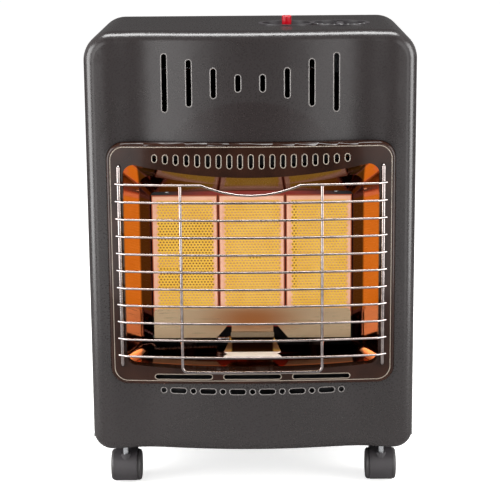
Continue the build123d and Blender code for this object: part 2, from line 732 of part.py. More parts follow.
def burner_bezel():
    def outline(inset):
        radius = BEZEL_CORNER_R - inset
        return rounded(BEZEL_X - inset, BEZEL_FOOT_Z + inset, BEZEL_TOP_Z - inset, radius, radius)

    seat = SHEET + FIT / 2
    skin = dished(outline(0), bezel_line(0), panel_line(seat + SHEET), BEZEL_RIM_R)
    hollow = dished(outline(SHEET), bezel_line(SHEET), flat_line(SEAM_Y), BEZEL_RIM_R - SHEET)
    flange = along_y(outline(-BEZEL_FLANGE) - outline(0), -GUARD_REACH, SEAM_Y)
    bezel = skin - hollow + (flange & slab(panel_line(seat), panel_line(seat + SHEET)))
    collar = mouth_prism(SHEET, -GUARD_REACH, MOUTH_BACK_Y) & slab(bezel_line(0), flat_line(SEAM_Y))
    bezel = bezel + collar - mouth_prism(0, -GUARD_REACH, SEAM_Y)
    return bezel - bezel_slots()


def bezel_slots():
    face = Sketch()
    for index in range(OVALS):
        place = index - (OVALS - 1) / 2
        length = OVAL_SHORT + (OVAL_LONG - OVAL_SHORT) * (1 - (2 * place / (OVALS - 1)) ** 2)
        oval = SlotOverall(length, OVAL_WIDTH, rotation=90)
        face += Pos(place * OVAL_PITCH, OVAL_TOP_Z - length / 2) * oval
    for index in (-1, 0, 1):
        face += Pos(index * LONG_SLOT_PITCH, LONG_SLOT_Z) * SlotOverall(LONG_SLOT, LONG_SLOT_HEIGHT)
    cuts = along_y(face, -GUARD_REACH, SEAM_Y)
    for index in range(-4, 5):
        x = index * AIR_DASH_PITCH / 2
        y = bezel_y(x) + BEZEL_RIM_R + AIR_DASH_WIDTH / 2 + 0.4
        slot = Circle(AIR_DASH_WIDTH / 2) if index % 2 == 0 else SlotOverall(AIR_DASH, AIR_DASH_WIDTH)
        cuts += along_z(Pos(x, y) * slot, BEZEL_TOP_Z - 2 * SHEET, BEZEL_TOP_Z + 1)
    return cuts


def guard_y(x, step=0.0):
    """Centre of the horizontal wires in plan at x."""
    rise = GUARD_REACH - WIRE_R + WIRE_SIDE_Y
    radius = (WIRE_BEND_X**2 + rise**2) / (2 * rise)
    return step + WIRE_R - GUARD_REACH + radius - math.sqrt(radius**2 - x**2)


def guard_wire(z, dip):
    """One horizontal wire, bowed forward in short chords, with its tips on the side posts."""
    def at(x):
        drop = dip * max(0.0, 1 - (x / DIP_X) ** 2)
        return (x, guard_y(x), z - drop)

    places = {WIRE_BEND_X * (2 * index / WIRE_CHORDS - 1) for index in range(WIRE_CHORDS + 1)}
    if dip:
        places |= {-DIP_X, DIP_X}
    tips = [(side * WIRE_TIP_X, WIRE_TIP_Y, z) for side in (-1, 1)]
    path = Polyline(tips[0], *[at(x) for x in sorted(places)], tips[1])
    return rod(Wire(path.edges()), WIRE_R, Transition.RIGHT)


def guard_hoop():
    """U-shaped wire behind the horizontals, from the top wire round the guard's foot."""
    back = WIRE_R + HOOP_R - WELD
    x = HOOP_X - HOOP_CORNER
    y = guard_y(x, back)
    foot = ThreePointArc((-x, y, HOOP_FOOT_Z), (0, guard_y(0, back), HOOP_FOOT_Z), (x, y, HOOP_FOOT_Z))
    legs = []
    for start, outward in ((foot @ 0, -(foot % 0)), (foot @ 1, foot % 1)):
        turn = curl(start, outward, Vector(0, 0, 1), math.pi / 2, HOOP_CORNER)
        top = turn @ 1
        legs.append([turn, Line(top, (top.X, top.Y, WIRE_TOP_Z + WIRE_R))])
    return rod(Wire([*reversed(legs[0]), foot, *legs[1]]), HOOP_R)


def guard_post(side):
    """Side post behind the wire tips; its ends turn back into the bezel."""
    y = post_y()
    end = bezel_y(POST_X) + SHEET
    points = [
        (side * POST_X, end, POST_TOP_Z),
        (side * POST_X, y, POST_TOP_Z),
        (side * POST_X, y, POST_FOOT_Z),
        (side * POST_X, end, POST_FOOT_Z),
    ]
    return rod(tube_path(points, POST_R + 0.7), POST_R)


def post_y():
    """Middle of the side posts, sunk into the backs of the wires' slanted tips."""
    share = (WIRE_TIP_X - POST_X) / (WIRE_TIP_X - WIRE_BEND_X)
    wire = WIRE_TIP_Y + share * (guard_y(WIRE_BEND_X) - WIRE_TIP_Y)
    return wire + WIRE_R + POST_R - WELD


def guard_grille():
    """Welded wirework: the hoop, the side posts and the horizontals as one piece."""
    guard = guard_hoop() + guard_post(-1) + guard_post(1)
    wires = []
    for index in range(WIRES):
        dip = 0 if index else DIP_DEPTH
        wires.append(guard_wire(WIRE_TOP_Z - index * WIRE_PITCH, dip))
    return guard.fuse(*wires)


def post_holes():
    holes = []
    for side in (-1, 1):
        for z in (POST_TOP_Z, POST_FOOT_Z):
            holes.append(lying_y(side * POST_X, -GUARD_REACH, SEAM_Y, z, POST_R + SHAFT_FIT))
    return holes


def reflector():
    def funnel(grow):
        sections = [
            bezel_mouth(REFLECTOR_Y, grow),
            mouth(
                BEND_Y, BEND_X + grow, BEND_FOOT_Z - grow, BEND_FOOT_MID_Z - grow,
                BEND_TOP_Z + grow, BEND_TOP_MID_Z + grow, MOUTH_R + grow,
            ),
            mouth(
                REAR_Y, REAR_X + grow, REAR_FOOT_Z - grow, REAR_FOOT_Z - grow - 0.5,
                REAR_TOP_Z + grow, REAR_TOP_Z + grow + 0.5, MOUTH_R / 2 + grow,
            ),
        ]
        return loft(sections, ruled=True)

    flange = mouth_prism(REFLECTOR_FLANGE, REFLECTOR_Y, REFLECTOR_Y + REFLECTOR_SHEET)
    return funnel(REFLECTOR_SHEET) + flange - funnel(0)


# Burners and their carriers

def burner_chassis():
    """Plate behind the front panel that carries the reflector and the burner rails."""
    back = CHASSIS_Y + SHEET
    plate = block(-CHASSIS_X, CHASSIS_X, CHASSIS_Y, back, CHASSIS_FOOT_Z, CHASSIS_TOP_Z)
    for side in (-1, 1):
        x0, x1 = sorted((side * CHASSIS_X, side * (CHASSIS_X - SHEET)))
        plate += block(x0, x1, back, CHASSIS_Y + CHASSIS_DEPTH, CHASSIS_FOOT_Z, CHASSIS_TOP_Z)
    return plate - mouth_prism(WINDOW_MARGIN, CHASSIS_Y, back)


def burner_rail(z_face, up):
    """Angle rail between the chassis sides; z_face is the side that meets the burner boxes."""
    half = CHASSIS_X - SHEET - FIT / 2
    y0 = BOX_Y
    z_out = z_face + up * SHEET
    z_lip = z_face + up * RAIL_LIP
    rail = block(-half, half, y0, y0 + RAIL_DEPTH, min(z_face, z_out), max(z_face, z_out))
    rail += block(-half, half, y0, y0 + SHEET, min(z_face, z_lip), max(z_face, z_lip))
    for side in (-1, 1):
        rail -= lying_y(side * RAIL_SCREW_X, y0, y0 + SHEET, z_face + up * RAIL_LIP / 2, SCREW_R + SHAFT_FIT)
        pipes = block(
            side * (PIPE_X + PIPE_STEP) - 2.5 * PIPE_STEP, side * (PIPE_X + PIPE_STEP) + 2.5 * PIPE_STEP,
            y0, PILOT_PIPE_Y + PILOT_PIPE_R + FIT, z_face - RAIL_LIP, z_face + RAIL_LIP,
        )
        rail -= pipes
    if up < 0:
        for x in BURNERS.values():
            rail -= upright(x, INJECTOR_Y, TUBE_R + FIT, z_face - RAIL_LIP, z_face)
    return rail


def burner_screws():
    """Two screws through each rail's lip."""
    screws = []
    for z in (BOX_TOP_Z + RUNNING_GAP + RAIL_LIP / 2, BOX_FOOT_Z - RUNNING_GAP - RAIL_LIP / 2):
        for side in (-1, 1):
            x = side * RAIL_SCREW_X
            head = lying_y(x, BOX_Y - SCREW_HEAD, BOX_Y, z, SCREW_HEAD_R)
            screws.append(head + lying_y(x, BOX_Y, BOX_Y + SCREW_GRIP, z, SCREW_R))
    return screws


def ceramic_plaque(x):
    half = PLAQUE_WIDTH / 2
    return block(x - half, x + half, PLAQUE_Y, PLAQUE_Y + PLAQUE_THICK, PLAQUE_FOOT_Z, PLAQUE_TOP_Z)


def burner_box(x):
    """Gas box behind one plaque, with its mixing tube and bell mouth below."""
    half = PLAQUE_WIDTH / 2 + BOX_MARGIN
    wide = block(x - half, x + half, BOX_Y, BOX_Y + BOX_DEPTH, BOX_FOOT_Z, BOX_TOP_Z)
    wide += upright(x, INJECTOR_Y, TUBE_R, TUBE_FOOT_Z, BOX_FOOT_Z + SHEET)
    wide += Pos(x, INJECTOR_Y, TUBE_FOOT_Z) * Cone(
        BELL_R, TUBE_R, BELL_HEIGHT, align=(Align.CENTER, Align.CENTER, Align.MIN)
    )
    inner = half - SHEET
    seat_y = PLAQUE_Y + PLAQUE_THICK + PLAQUE_FIT
    hollow = block(x - inner, x + inner, BOX_Y, seat_y, BOX_FOOT_Z + SHEET, BOX_TOP_Z - SHEET)
    ledge = inner - BOX_LEDGE
    hollow += block(
        x - ledge, x + ledge, seat_y, BOX_Y + BOX_DEPTH - SHEET,
        BOX_FOOT_Z + SHEET + BOX_LEDGE, BOX_TOP_Z - SHEET - BOX_LEDGE,
    )
    hollow += upright(x, INJECTOR_Y, TUBE_R - SHEET, TUBE_FOOT_Z, BOX_FOOT_Z + 2 * SHEET + BOX_LEDGE)
    hollow += Pos(x, INJECTOR_Y, TUBE_FOOT_Z) * Cone(
        BELL_R - SHEET, TUBE_R - SHEET, BELL_HEIGHT, align=(Align.CENTER, Align.CENTER, Align.MIN)
    )
    return wide - hollow


def injector_bar():
    half = CHASSIS_X - SHEET - FIT / 2
    reach = INJECTOR_HEX / 2 + INJECTOR_BAR_MARGIN
    y0, y1 = INJECTOR_Y - reach, INJECTOR_Y + reach
    bar = block(-half, half, y0, y1, INJECTOR_BAR_Z, INJECTOR_BAR_Z + INJECTOR_BAR)
    for side in (-1, 1):
        x0, x1 = sorted((side * half, side * (half - SHEET)))
        bar += block(x0, x1, y0, y1, INJECTOR_BAR_Z, INJECTOR_BAR_Z + INJECTOR_BAR_LIP)
    for x in BURNERS.values():
        bar -= upright(x, INJECTOR_Y, INJECTOR_R + SHAFT_FIT, INJECTOR_BAR_Z, INJECTOR_BAR_Z + INJECTOR_BAR)
    return bar


def injector(x):
    """Brass nozzle seated on the bar, its jet pointing up into the mixing tube."""
    foot = INJECTOR_BAR_Z - INJECTOR_HEX_HEIGHT
    hexagon = along_z(
        Pos(x, INJECTOR_Y) * RegularPolygon(INJECTOR_HEX / 2, 6, major_radius=False), foot, INJECTOR_BAR_Z
    )
    body = hexagon + upright(x, INJECTOR_Y, INJECTOR_R, INJECTOR_BAR_Z, INJECTOR_TOP_Z)
    body -= upright(x, INJECTOR_Y, PIPE_R + SHAFT_FIT, foot, foot + PIPE_SEAT)
    return body - upright(x, INJECTOR_Y, 0.6, foot, INJECTOR_TOP_Z)


def gas_pipe(index, x):
    """Pipe from one valve outlet down the right side and up into its injector."""
    run_x = PIPE_X + index * PIPE_STEP
    low_z = PIPE_FOOT_Z - index * PIPE_STEP
    outlet_z = VALVE_TOP_Z - VALVE_HEIGHT + PIPE_OUTLET + index * PIPE_STEP
    points = [
        (VALVE_X + VALVE_WIDTH / 2 - PIPE_SEAT, VALVE_Y, outlet_z),
        (run_x, VALVE_Y, outlet_z),
        (run_x, VALVE_Y, PIPE_JOG_TOP_Z),
        (run_x, PIPE_Y, PIPE_JOG_FOOT_Z),
        (run_x, PIPE_Y, low_z),
        (x, PIPE_Y, low_z),
        (x, INJECTOR_Y, low_z),
        (x, INJECTOR_Y, INJECTOR_BAR_Z - INJECTOR_HEX_HEIGHT + PIPE_SEAT),
    ]
    return rod(tube_path(points, PIPE_BEND), PIPE_R)


# Deflector and pilot

def deflector_plate():
    """Heat deflector over the plaques' foot, with two triangular cut-outs beside its tongue."""
    height = DEFLECTOR_TOP_Z - DEFLECTOR_FOOT_Z
    sheet = Pos(0, DEFLECTOR_FOOT_Z + height / 2) * Rectangle(2 * DEFLECTOR_X, height)
    sheet = fillet(sheet.vertices().group_by(Axis.Y)[-1], DEFLECTOR_R)
    for side in (-1, 1):
        sheet -= make_face(Polyline(
            (side * NOTCH_FOOT_X, DEFLECTOR_FOOT_Z),
            (side * NOTCH_TOP_X, NOTCH_TOP_Z),
            (side * TONGUE_X, NOTCH_TOP_Z),
            (side * TONGUE_X, DEFLECTOR_FOOT_Z),
            close=True,
        ))
    plate = along_y(sheet, DEFLECTOR_Y, DEFLECTOR_Y + SHEET)
    for side in (-1, 1):
        x0, x1 = sorted((side * DEFLECTOR_TAB_X, side * (DEFLECTOR_TAB_X - DEFLECTOR_TAB_WIDTH)))
        plate += block(
            x0, x1, DEFLECTOR_Y + SHEET, BOX_Y - RUNNING_GAP, DEFLECTOR_TAB_Z, DEFLECTOR_TAB_Z + SHEET
        )
    return plate


def pilot_shield():
    """Hood in front of the pilot: a skirt that leans forward, and a bright lip along its foot."""
    top_y = DEFLECTOR_Y - RUNNING_GAP - SHEET
    side = Polyline(
        (top_y, DEFLECTOR_FOOT_Z + SHIELD_TAB),
        (top_y, DEFLECTOR_FOOT_Z + SHEET),
        (SHIELD_FOOT_Y, SHIELD_FOOT_Z + SHEET),
        (SHIELD_LIP_Y, SHIELD_FOOT_Z - SHIELD_LIP_DROP + SHEET),
        (SHIELD_LIP_Y, SHIELD_FOOT_Z - SHIELD_LIP_DROP),
        (SHIELD_FOOT_Y, SHIELD_FOOT_Z),
        (top_y + SHEET, DEFLECTOR_FOOT_Z),
        (top_y + SHEET, DEFLECTOR_FOOT_Z + SHIELD_TAB),
        close=True,
    )
    strip = along_x(make_face(side), -SHIELD_FOOT_X, SHIELD_FOOT_X)
    outline = make_face(Polyline(
        (-TONGUE_X, top_y + 2 * SHEET),
        (TONGUE_X, top_y + 2 * SHEET),
        (TONGUE_X + 1, top_y),
        (SHIELD_FOOT_X, SHIELD_FOOT_Y),
        (SHIELD_FOOT_X - 6, SHIELD_FOOT_Y - 5),
        (SHIELD_FOOT_X, SHIELD_LIP_Y),
        (-SHIELD_FOOT_X, SHIELD_LIP_Y),
        (-SHIELD_FOOT_X + 6, SHIELD_FOOT_Y - 5),
        (-SHIELD_FOOT_X, SHIELD_FOOT_Y),
        (-TONGUE_X - 1, top_y),
        close=True,
    ))
    return strip & along_z(outline, 0, TOP_Z)


def pilot_bracket():
    """Angle hung from the lower rail, with a cheek each side for the pilot's parts."""
    back_y = BOX_Y - RUNNING_GAP
    bracket = block(-CHEEK_X, CHEEK_X, back_y - SHEET, back_y, BRACKET_FOOT_Z, BRACKET_TOP_Z)
    bracket += block(
        -CHEEK_X, CHEEK_X, back_y - BRACKET_DEPTH, back_y, BRACKET_FOOT_Z, BRACKET_FOOT_Z + SHEET
    )
    for side in (-1, 1):
        x0, x1 = sorted((side * CHEEK_X, side * (CHEEK_X - SHEET)))
        bracket += block(x0, x1, back_y - BRACKET_DEPTH, back_y, BRACKET_FOOT_Z, CHEEK_TOP_Z)
    bracket -= lying_x(-CHEEK_X, 0, PILOT_Y, PILOT_Z, PILOT_R + SHAFT_FIT)
    bracket -= lying_x(0, CHEEK_X, PILOT_Y, PILOT_Z, ELECTRODE_R + SHAFT_FIT)
    return bracket - lying_x(0, CHEEK_X, PILOT_Y, PROBE_Z, PROBE_R + SHAFT_FIT)


def pilot_burner():
    """Oxygen-sensing pilot: a short tube with a flame port on top of its inner end."""
    outer_x = -CHEEK_X - PILOT_LENGTH / 3
    inner_x = outer_x + PILOT_LENGTH
    tube = lying_x(outer_x, inner_x, PILOT_Y, PILOT_Z, PILOT_R)
    tube -= lying_x(outer_x, outer_x + PILOT_BORE, PILOT_Y, PILOT_Z, PILOT_PIPE_R + SHAFT_FIT)
    tube -= lying_x(outer_x, inner_x - SHEET, PILOT_Y, PILOT_Z, PILOT_PIPE_R / 2)
    return tube - upright(inner_x - PILOT_R, PILOT_Y, PILOT_PIPE_R / 2, PILOT_Z, PILOT_Z + PILOT_R)


def pilot_tube():
    """Thin pipe from the valve down the left of the burners to the pilot."""
    x = -PIPE_X
    z_top = VALVE_TOP_Z - VALVE_HEIGHT + PILOT_OUTLET
    points = [
        (VALVE_X - VALVE_WIDTH / 2 + PIPE_SEAT, VALVE_Y, z_top),
        (x, VALVE_Y, z_top),
        (x, VALVE_Y, PIPE_JOG_TOP_Z),
        (x, PILOT_PIPE_Y, PIPE_JOG_FOOT_Z),
        (x, PILOT_PIPE_Y, PILOT_Z),
        (-PILOT_PIPE_X, PILOT_PIPE_Y, PILOT_Z),
        (-PILOT_PIPE_X, PILOT_Y, PILOT_Z),
        (-CHEEK_X - PILOT_LENGTH / 3 + PILOT_BORE - RUNNING_GAP, PILOT_Y, PILOT_Z),
    ]
    return rod(tube_path(points, 2 * PILOT_PIPE_R), PILOT_PIPE_R)


def thermocouple():
    """Probe whose tip stands over the pilot's flame port."""
    end = CHEEK_X + 4
    return lying_x(end - PROBE_LENGTH, end, PILOT_Y, PROBE_Z, PROBE_R)


def spark_electrode():
    """Ceramic sleeve with a bare wire tip beside the flame port."""
    end = CHEEK_X + 4
    tip = end - ELECTRODE_LENGTH
    ceramic = lying_x(tip, end, PILOT_Y, PILOT_Z, ELECTRODE_R)
    return ceramic + lying_x(tip - ELECTRODE_TIP, tip, PILOT_Y, PILOT_Z, ELECTRODE_TIP_R)


# Controls

def gas_valve():
    x, y = VALVE_X, VALVE_Y
    foot = VALVE_TOP_Z - VALVE_HEIGHT
    body = block(
        x - VALVE_WIDTH / 2, x + VALVE_WIDTH / 2, y - VALVE_DEPTH / 2, y + VALVE_DEPTH / 2, foot, VALVE_TOP_Z
    )
    body = fillet(body.edges().filter_by(Axis.Z), 5)
    body += upright(x, y, NECK_R, VALVE_TOP_Z, VALVE_TOP_Z + NECK_HEIGHT)
    body -= upright(x, y, STEM_R + SHAFT_FIT, VALVE_TOP_Z - STEM_BORE, VALVE_TOP_Z + NECK_HEIGHT)
    for index in range(3):
        z = foot + PIPE_OUTLET + index * PIPE_STEP
        body -= lying_x(x + VALVE_WIDTH / 2 - PIPE_SEAT, x + VALVE_WIDTH / 2, y, z, PIPE_R + SHAFT_FIT)
    z = foot + PILOT_OUTLET
    body -= lying_x(x - VALVE_WIDTH / 2, x - VALVE_WIDTH / 2 + PIPE_SEAT, y, z, PILOT_PIPE_R + SHAFT_FIT)
    pocket_y = y + VALVE_DEPTH / 2 - INLET_SEAT - SHEET
    return body - lying_y(x, pocket_y, y + VALVE_DEPTH / 2, INLET_Z, INLET_R + SHAFT_FIT)


def gas_inlet():
    """Hose tail on the back of the valve, pointing into the cylinder bay."""
    y0 = VALVE_Y + VALVE_DEPTH / 2
    y1 = y0 + INLET_NUT_LENGTH + INLET_LENGTH
    stub = lying_y(VALVE_X, y0 - INLET_SEAT, y1, INLET_Z, INLET_R)
    stub += hexagon_y(VALVE_X, y0, y0 + INLET_NUT_LENGTH, INLET_Z, INLET_NUT)
    return stub - lying_y(VALVE_X, y0 - INLET_SEAT, y1, INLET_Z, INLET_BORE_R)


def valve_bracket():
    """Saddle that hangs the valve's neck from the underside of the top panel."""
    half = VALVE_WIDTH / 2 + BRACKET_MARGIN
    x, y = VALVE_X, VALVE_Y
    z0 = BRACKET_Z
    z1 = z0 + BRACKET_SHEET
    deep = VALVE_DEPTH / 2 + BRACKET_REACH
    saddle = block(x - half, x + half, y - deep, y + deep, z0, z1)
    for side in (-1, 1):
        y0, y1 = sorted((y + side * deep, y + side * (deep - BRACKET_SHEET)))
        saddle += block(x - half, x + half, y0, y1, z1, TOP_Z - SHEET - FIT / 4)
    return saddle - upright(x, y, NECK_R + SHAFT_FIT, z0, z1)


def control_dish():
    """Moulded dish let into the top panel, with a bowl for the igniter and one for the knob."""
    def bowls(radius_cut):
        igniter = Pos(IGNITER_X, DISH_Y) * Circle(IGNITER_BOWL_R - radius_cut)
        return igniter + Pos(VALVE_X, DISH_Y) * Circle(KNOB_BOWL_R - radius_cut)

    rim_top = TOP_Z + DISH_RIM_HEIGHT
    dish = along_z(bowls(0), DISH_FLOOR_Z, rim_top)
    dish += along_z(bowls(-DISH_RIM), TOP_Z + FIT / 4, rim_top)
    dish -= along_z(bowls(DISH_WALL), DISH_FLOOR_Z + DISH_WALL, rim_top)
    dish -= upright(VALVE_X, VALVE_Y, STEM_R + 0.6, DISH_FLOOR_Z, DISH_FLOOR_Z + DISH_WALL)
    return dish - upright(IGNITER_X, DISH_Y, IGNITER_R + SHAFT_FIT, DISH_FLOOR_Z, DISH_FLOOR_Z + DISH_WALL)


def valve_stem():
    foot = VALVE_TOP_Z - STEM_BORE + KNOB_PUSH + RUNNING_GAP
    return upright(VALVE_X, VALVE_Y, STEM_R, foot, KNOB_FOOT_Z + KNOB_HEIGHT - STEM_SEAT)


def control_knob():
    """Low knob with a finger bar across it."""
    x, y = VALVE_X, VALVE_Y
    skirt = upright(x, y, KNOB_R, KNOB_FOOT_Z, KNOB_FOOT_Z + KNOB_SKIRT)
    skirt = fillet(skirt.edges().sort_by(Axis.Z)[-1], 1.2)
    grip = Pos(x, y) * SlotOverall(GRIP_LENGTH, GRIP_WIDTH, rotation=90)
    bar = along_z(grip, KNOB_FOOT_Z, KNOB_FOOT_Z + KNOB_HEIGHT)
    bar = fillet(bar.edges().group_by(Axis.Z)[-1], 1.4)
    bore_top = KNOB_FOOT_Z + KNOB_HEIGHT - STEM_SEAT
    return skirt + bar - upright(x, y, STEM_R + SHAFT_FIT, KNOB_FOOT_Z, bore_top)


def igniter_body():
    """Piezo igniter: a barrel clamped in the dish by its nut, bored for the button."""
    foot = IGNITER_TOP_Z - IGNITER_LENGTH
    body = upright(IGNITER_X, DISH_Y, IGNITER_R, foot, IGNITER_TOP_Z)
    body += upright(IGNITER_X, DISH_Y, IGNITER_NUT_R, DISH_FLOOR_Z + DISH_WALL, IGNITER_TOP_Z)
    body += upright(IGNITER_X, DISH_Y, IGNITER_NUT_R, DISH_FLOOR_Z - IGNITER_NUT, DISH_FLOOR_Z)
    return body - upright(IGNITER_X, DISH_Y, BUTTON_R + BUTTON_FIT, SPRING_FOOT_Z, IGNITER_TOP_Z)


def igniter_button():
    button = upright(IGNITER_X, DISH_Y, BUTTON_R, BUTTON_FOOT_Z, BUTTON_TOP_Z)
    return fillet(button.edges().sort_by(Axis.Z)[-1], 1.5)


def igniter_spring():
    """Return spring between the barrel's floor and the button."""
    low = SPRING_FOOT_Z + SPRING_WIRE_R + 0.1
    height = SPRING_LENGTH - 2 * SPRING_WIRE_R - 0.3
    coil = Helix(height / SPRING_TURNS, height, SPRING_R)
    wire = sweep(Plane(origin=coil @ 0, z_dir=coil % 0) * Circle(SPRING_WIRE_R), coil, is_frenet=True)
    return Pos(IGNITER_X, DISH_Y, low) * wire


# Casters

def caster_sockets():
    sockets = []
    for x, y in caster_places().values():
        z0 = FLOOR_Z
        socket = upright(x, y, SOCKET_R, z0, SOCKET_TOP_Z) + upright(x, y, SOCKET_R + 5, z0, z0 + SHEET)
        socket += upright(x, y, CASTER_STEM_R + 2 - SHAFT_FIT, TRAY_Z, z0)
        sockets.append(socket - upright(x, y, CASTER_STEM_R + SHAFT_FIT, TRAY_Z, SOCKET_TOP_Z))
    return sockets


def caster_stem(x, y):
    """Steel pin that turns in the socket; the tray rests on its collar."""
    top = TRAY_Z - RUNNING_GAP
    stem = upright(x, y, CASTER_STEM_R, STEM_FOOT_Z, STEM_TOP_Z)
    stem += upright(x, y, COLLAR_R, top - COLLAR, top)
    return chamfer(stem.edges().sort_by(Axis.Z)[-1], 0.8)


def caster_hood(x, y):
    """Hood over both wheels, with the web for the axle and the boss for the stem."""
    axle_y = y + TRAIL
    half = HOOD_WIDTH / 2
    shell = lying_x(x - half, x + half, axle_y, AXLE_Z, HOOD_R)
    shell -= lying_x(x - half, x + half, axle_y, AXLE_Z, HOOD_R - HOOD_SHEET)
    shell -= block(x - half, x + half, axle_y, axle_y + HOOD_R, -HOOD_R, AXLE_Z + 4)
    web_half = WHEEL_GAP / 2 - RUNNING_GAP
    web = lying_x(x - web_half, x + web_half, axle_y, AXLE_Z, HOOD_R - HOOD_SHEET / 2)
    web -= block(x - half, x + half, axle_y + AXLE_R + 4, axle_y + HOOD_R, -HOOD_R, AXLE_Z + 2)
    hood = shell + web + upright(x, y, BOSS_R, STEM_FOOT_Z - 3, BOSS_TOP_Z)
    hood -= block(x - half, x + half, y - HOOD_R, axle_y + HOOD_R, -HOOD_R, HOOD_FOOT_Z)
    hood -= upright(x, y, CASTER_STEM_R, STEM_FOOT_Z, HOOD_R * 2 + 10)
    return hood - lying_x(x - half, x + half, axle_y, AXLE_Z, AXLE_R + SHAFT_FIT)


def caster_axle(x, y):
    half = WHEEL_GAP / 2 + WHEEL_WIDTH - 2
    return lying_x(x - half, x + half, y + TRAIL, AXLE_Z, AXLE_R)


def caster_wheel(x, y, side):
    """Wheel pressed on the axle, with a rounded outer shoulder."""
    near = x + side * WHEEL_GAP / 2
    far = near + side * WHEEL_WIDTH
    x0, x1 = min(near, far), max(near, far)
    wheel = lying_x(x0, x1, y + TRAIL, AXLE_Z, WHEEL_R)
    outer = wheel.edges().filter_by(GeomType.CIRCLE).sort_by(Axis.X)
    wheel = fillet(outer[-1] if side > 0 else outer[0], WHEEL_ROUND)
    half = WHEEL_GAP / 2 + WHEEL_WIDTH - 2
    return wheel - lying_x(x - half, x + half, y + TRAIL, AXLE_Z, AXLE_R)


def main():
    os.makedirs("parts", exist_ok=True)
    save("front_panel", front_panel())
    save("cabinet_shell", cabinet_shell())
    save("base_tray", base_tray())
    save("cabinet_screws", Compound(children=cabinet_screws()))
    save("heat_shield", heat_shield())
    save("rear_cover", rear_cover())
    save("rear_hinges", Compound(children=rear_hinges()))
    save("rear_hinge_pins", Compound(children=rear_hinge_pins()))
    save("cover_catch", cover_catch())
    bezel = burner_bezel()
    for hole in post_holes():
        bezel -= hole
    save("burner_bezel", bezel)
    save("guard_grille", guard_grille())
    save("reflector", reflector())
    save("burner_chassis", burner_chassis())
    save("burner_rail_top", burner_rail(BOX_TOP_Z + RUNNING_GAP, 1))
    save("burner_rail_bottom", burner_rail(BOX_FOOT_Z - RUNNING_GAP, -1))
    save("burner_screws", Compound(children=burner_screws()))
    save("injector_bar", injector_bar())
    save("injectors", Compound(children=[injector(x) for x in BURNERS.values()]))
    for index, (side, x) in enumerate(BURNERS.items()):
        save(f"ceramic_plaque_{side}", ceramic_plaque(x))
        save(f"burner_box_{side}", burner_box(x))
        save(f"gas_pipe_{side}", gas_pipe(index, x))
    save("deflector_plate", deflector_plate())
    save("pilot_shield", pilot_shield())
    save("pilot_bracket", pilot_bracket())
    save("pilot_burner", pilot_burner())
    save("pilot_tube", pilot_tube())
    save("thermocouple", thermocouple())
    save("spark_electrode", spark_electrode())
    save("gas_valve", gas_valve())
    save("gas_inlet", gas_inlet())
    save("valve_bracket", valve_bracket())
    save("control_dish", control_dish())
    save("valve_stem", valve_stem())
    save("control_knob", control_knob())
    save("igniter_body", igniter_body())
    save("igniter_button", igniter_button())
    save("igniter_spring", igniter_spring())
    save("caster_sockets", Compound(children=caster_sockets()))
    for place, (x, y) in caster_places().items():
        save(f"caster_stem_{place}", caster_stem(x, y))
        save(f"caster_hood_{place}", caster_hood(x, y))
        save(f"caster_axle_{place}", caster_axle(x, y))
        save(f"caster_wheels_{place}", Compound(children=[caster_wheel(x, y, side) for side in (-1, 1)]))


main()
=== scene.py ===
# %% [markdown]
# # A portable propane cabinet heater
#
# The heater is a steel cabinet on four casters. Three ceramic plaques glow behind a guard of
# welded wire, a knob and a red piezo button sit in a dish on the top, and a hinged cover at the
# back hides the gas cylinder. The solids of the cabinet come ready made, so this lesson is about
# what makes them look real: finishes, rolled edges, perforated ceramic and light.

# %% Load the frame
import json
import math

import bpy
from mathutils import Matrix, Vector


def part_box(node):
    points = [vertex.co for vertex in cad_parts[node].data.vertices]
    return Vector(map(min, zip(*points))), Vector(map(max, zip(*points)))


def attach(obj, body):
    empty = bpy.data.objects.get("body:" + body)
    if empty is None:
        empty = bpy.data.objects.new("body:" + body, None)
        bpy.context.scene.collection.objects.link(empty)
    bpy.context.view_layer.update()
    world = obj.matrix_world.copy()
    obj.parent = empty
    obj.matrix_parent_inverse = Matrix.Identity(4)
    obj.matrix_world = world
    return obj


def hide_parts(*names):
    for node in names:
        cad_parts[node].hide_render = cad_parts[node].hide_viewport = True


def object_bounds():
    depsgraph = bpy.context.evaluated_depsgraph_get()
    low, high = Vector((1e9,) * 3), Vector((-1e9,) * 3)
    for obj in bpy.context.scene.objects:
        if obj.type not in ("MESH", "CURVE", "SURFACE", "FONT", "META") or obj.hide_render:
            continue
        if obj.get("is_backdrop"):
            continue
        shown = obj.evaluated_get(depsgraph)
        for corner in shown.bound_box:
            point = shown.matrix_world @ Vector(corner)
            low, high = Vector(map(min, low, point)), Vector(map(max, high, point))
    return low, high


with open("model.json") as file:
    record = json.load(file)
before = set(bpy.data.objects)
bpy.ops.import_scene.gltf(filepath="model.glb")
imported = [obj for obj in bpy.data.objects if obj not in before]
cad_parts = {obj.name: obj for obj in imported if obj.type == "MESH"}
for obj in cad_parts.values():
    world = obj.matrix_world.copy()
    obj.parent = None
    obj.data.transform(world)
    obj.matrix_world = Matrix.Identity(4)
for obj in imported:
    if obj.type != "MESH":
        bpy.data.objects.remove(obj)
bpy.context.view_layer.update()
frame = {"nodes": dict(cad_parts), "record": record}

nodes = frame["nodes"]

# %% [markdown]
# ## Units and colours
#
# Blender works in metres and a sheet-metal shop in millimetres, so sizes below are written in
# millimetres times MM. Colours are written as they look on a screen, as sRGB hex. A shader wants
# linear light, so one function turns the one into the other.

# %% Helpers for sizes and colours
MM = 0.001


def colour(code):
    """sRGB hex such as #3a3534 as a linear colour."""
    parts = [int(code[at:at + 2], 16) / 255 for at in (1, 3, 5)]
    linear = [part / 12.92 if part <= 0.04045 else ((part + 0.055) / 1.055) ** 2.4 for part in parts]
    return (*linear, 1.0)


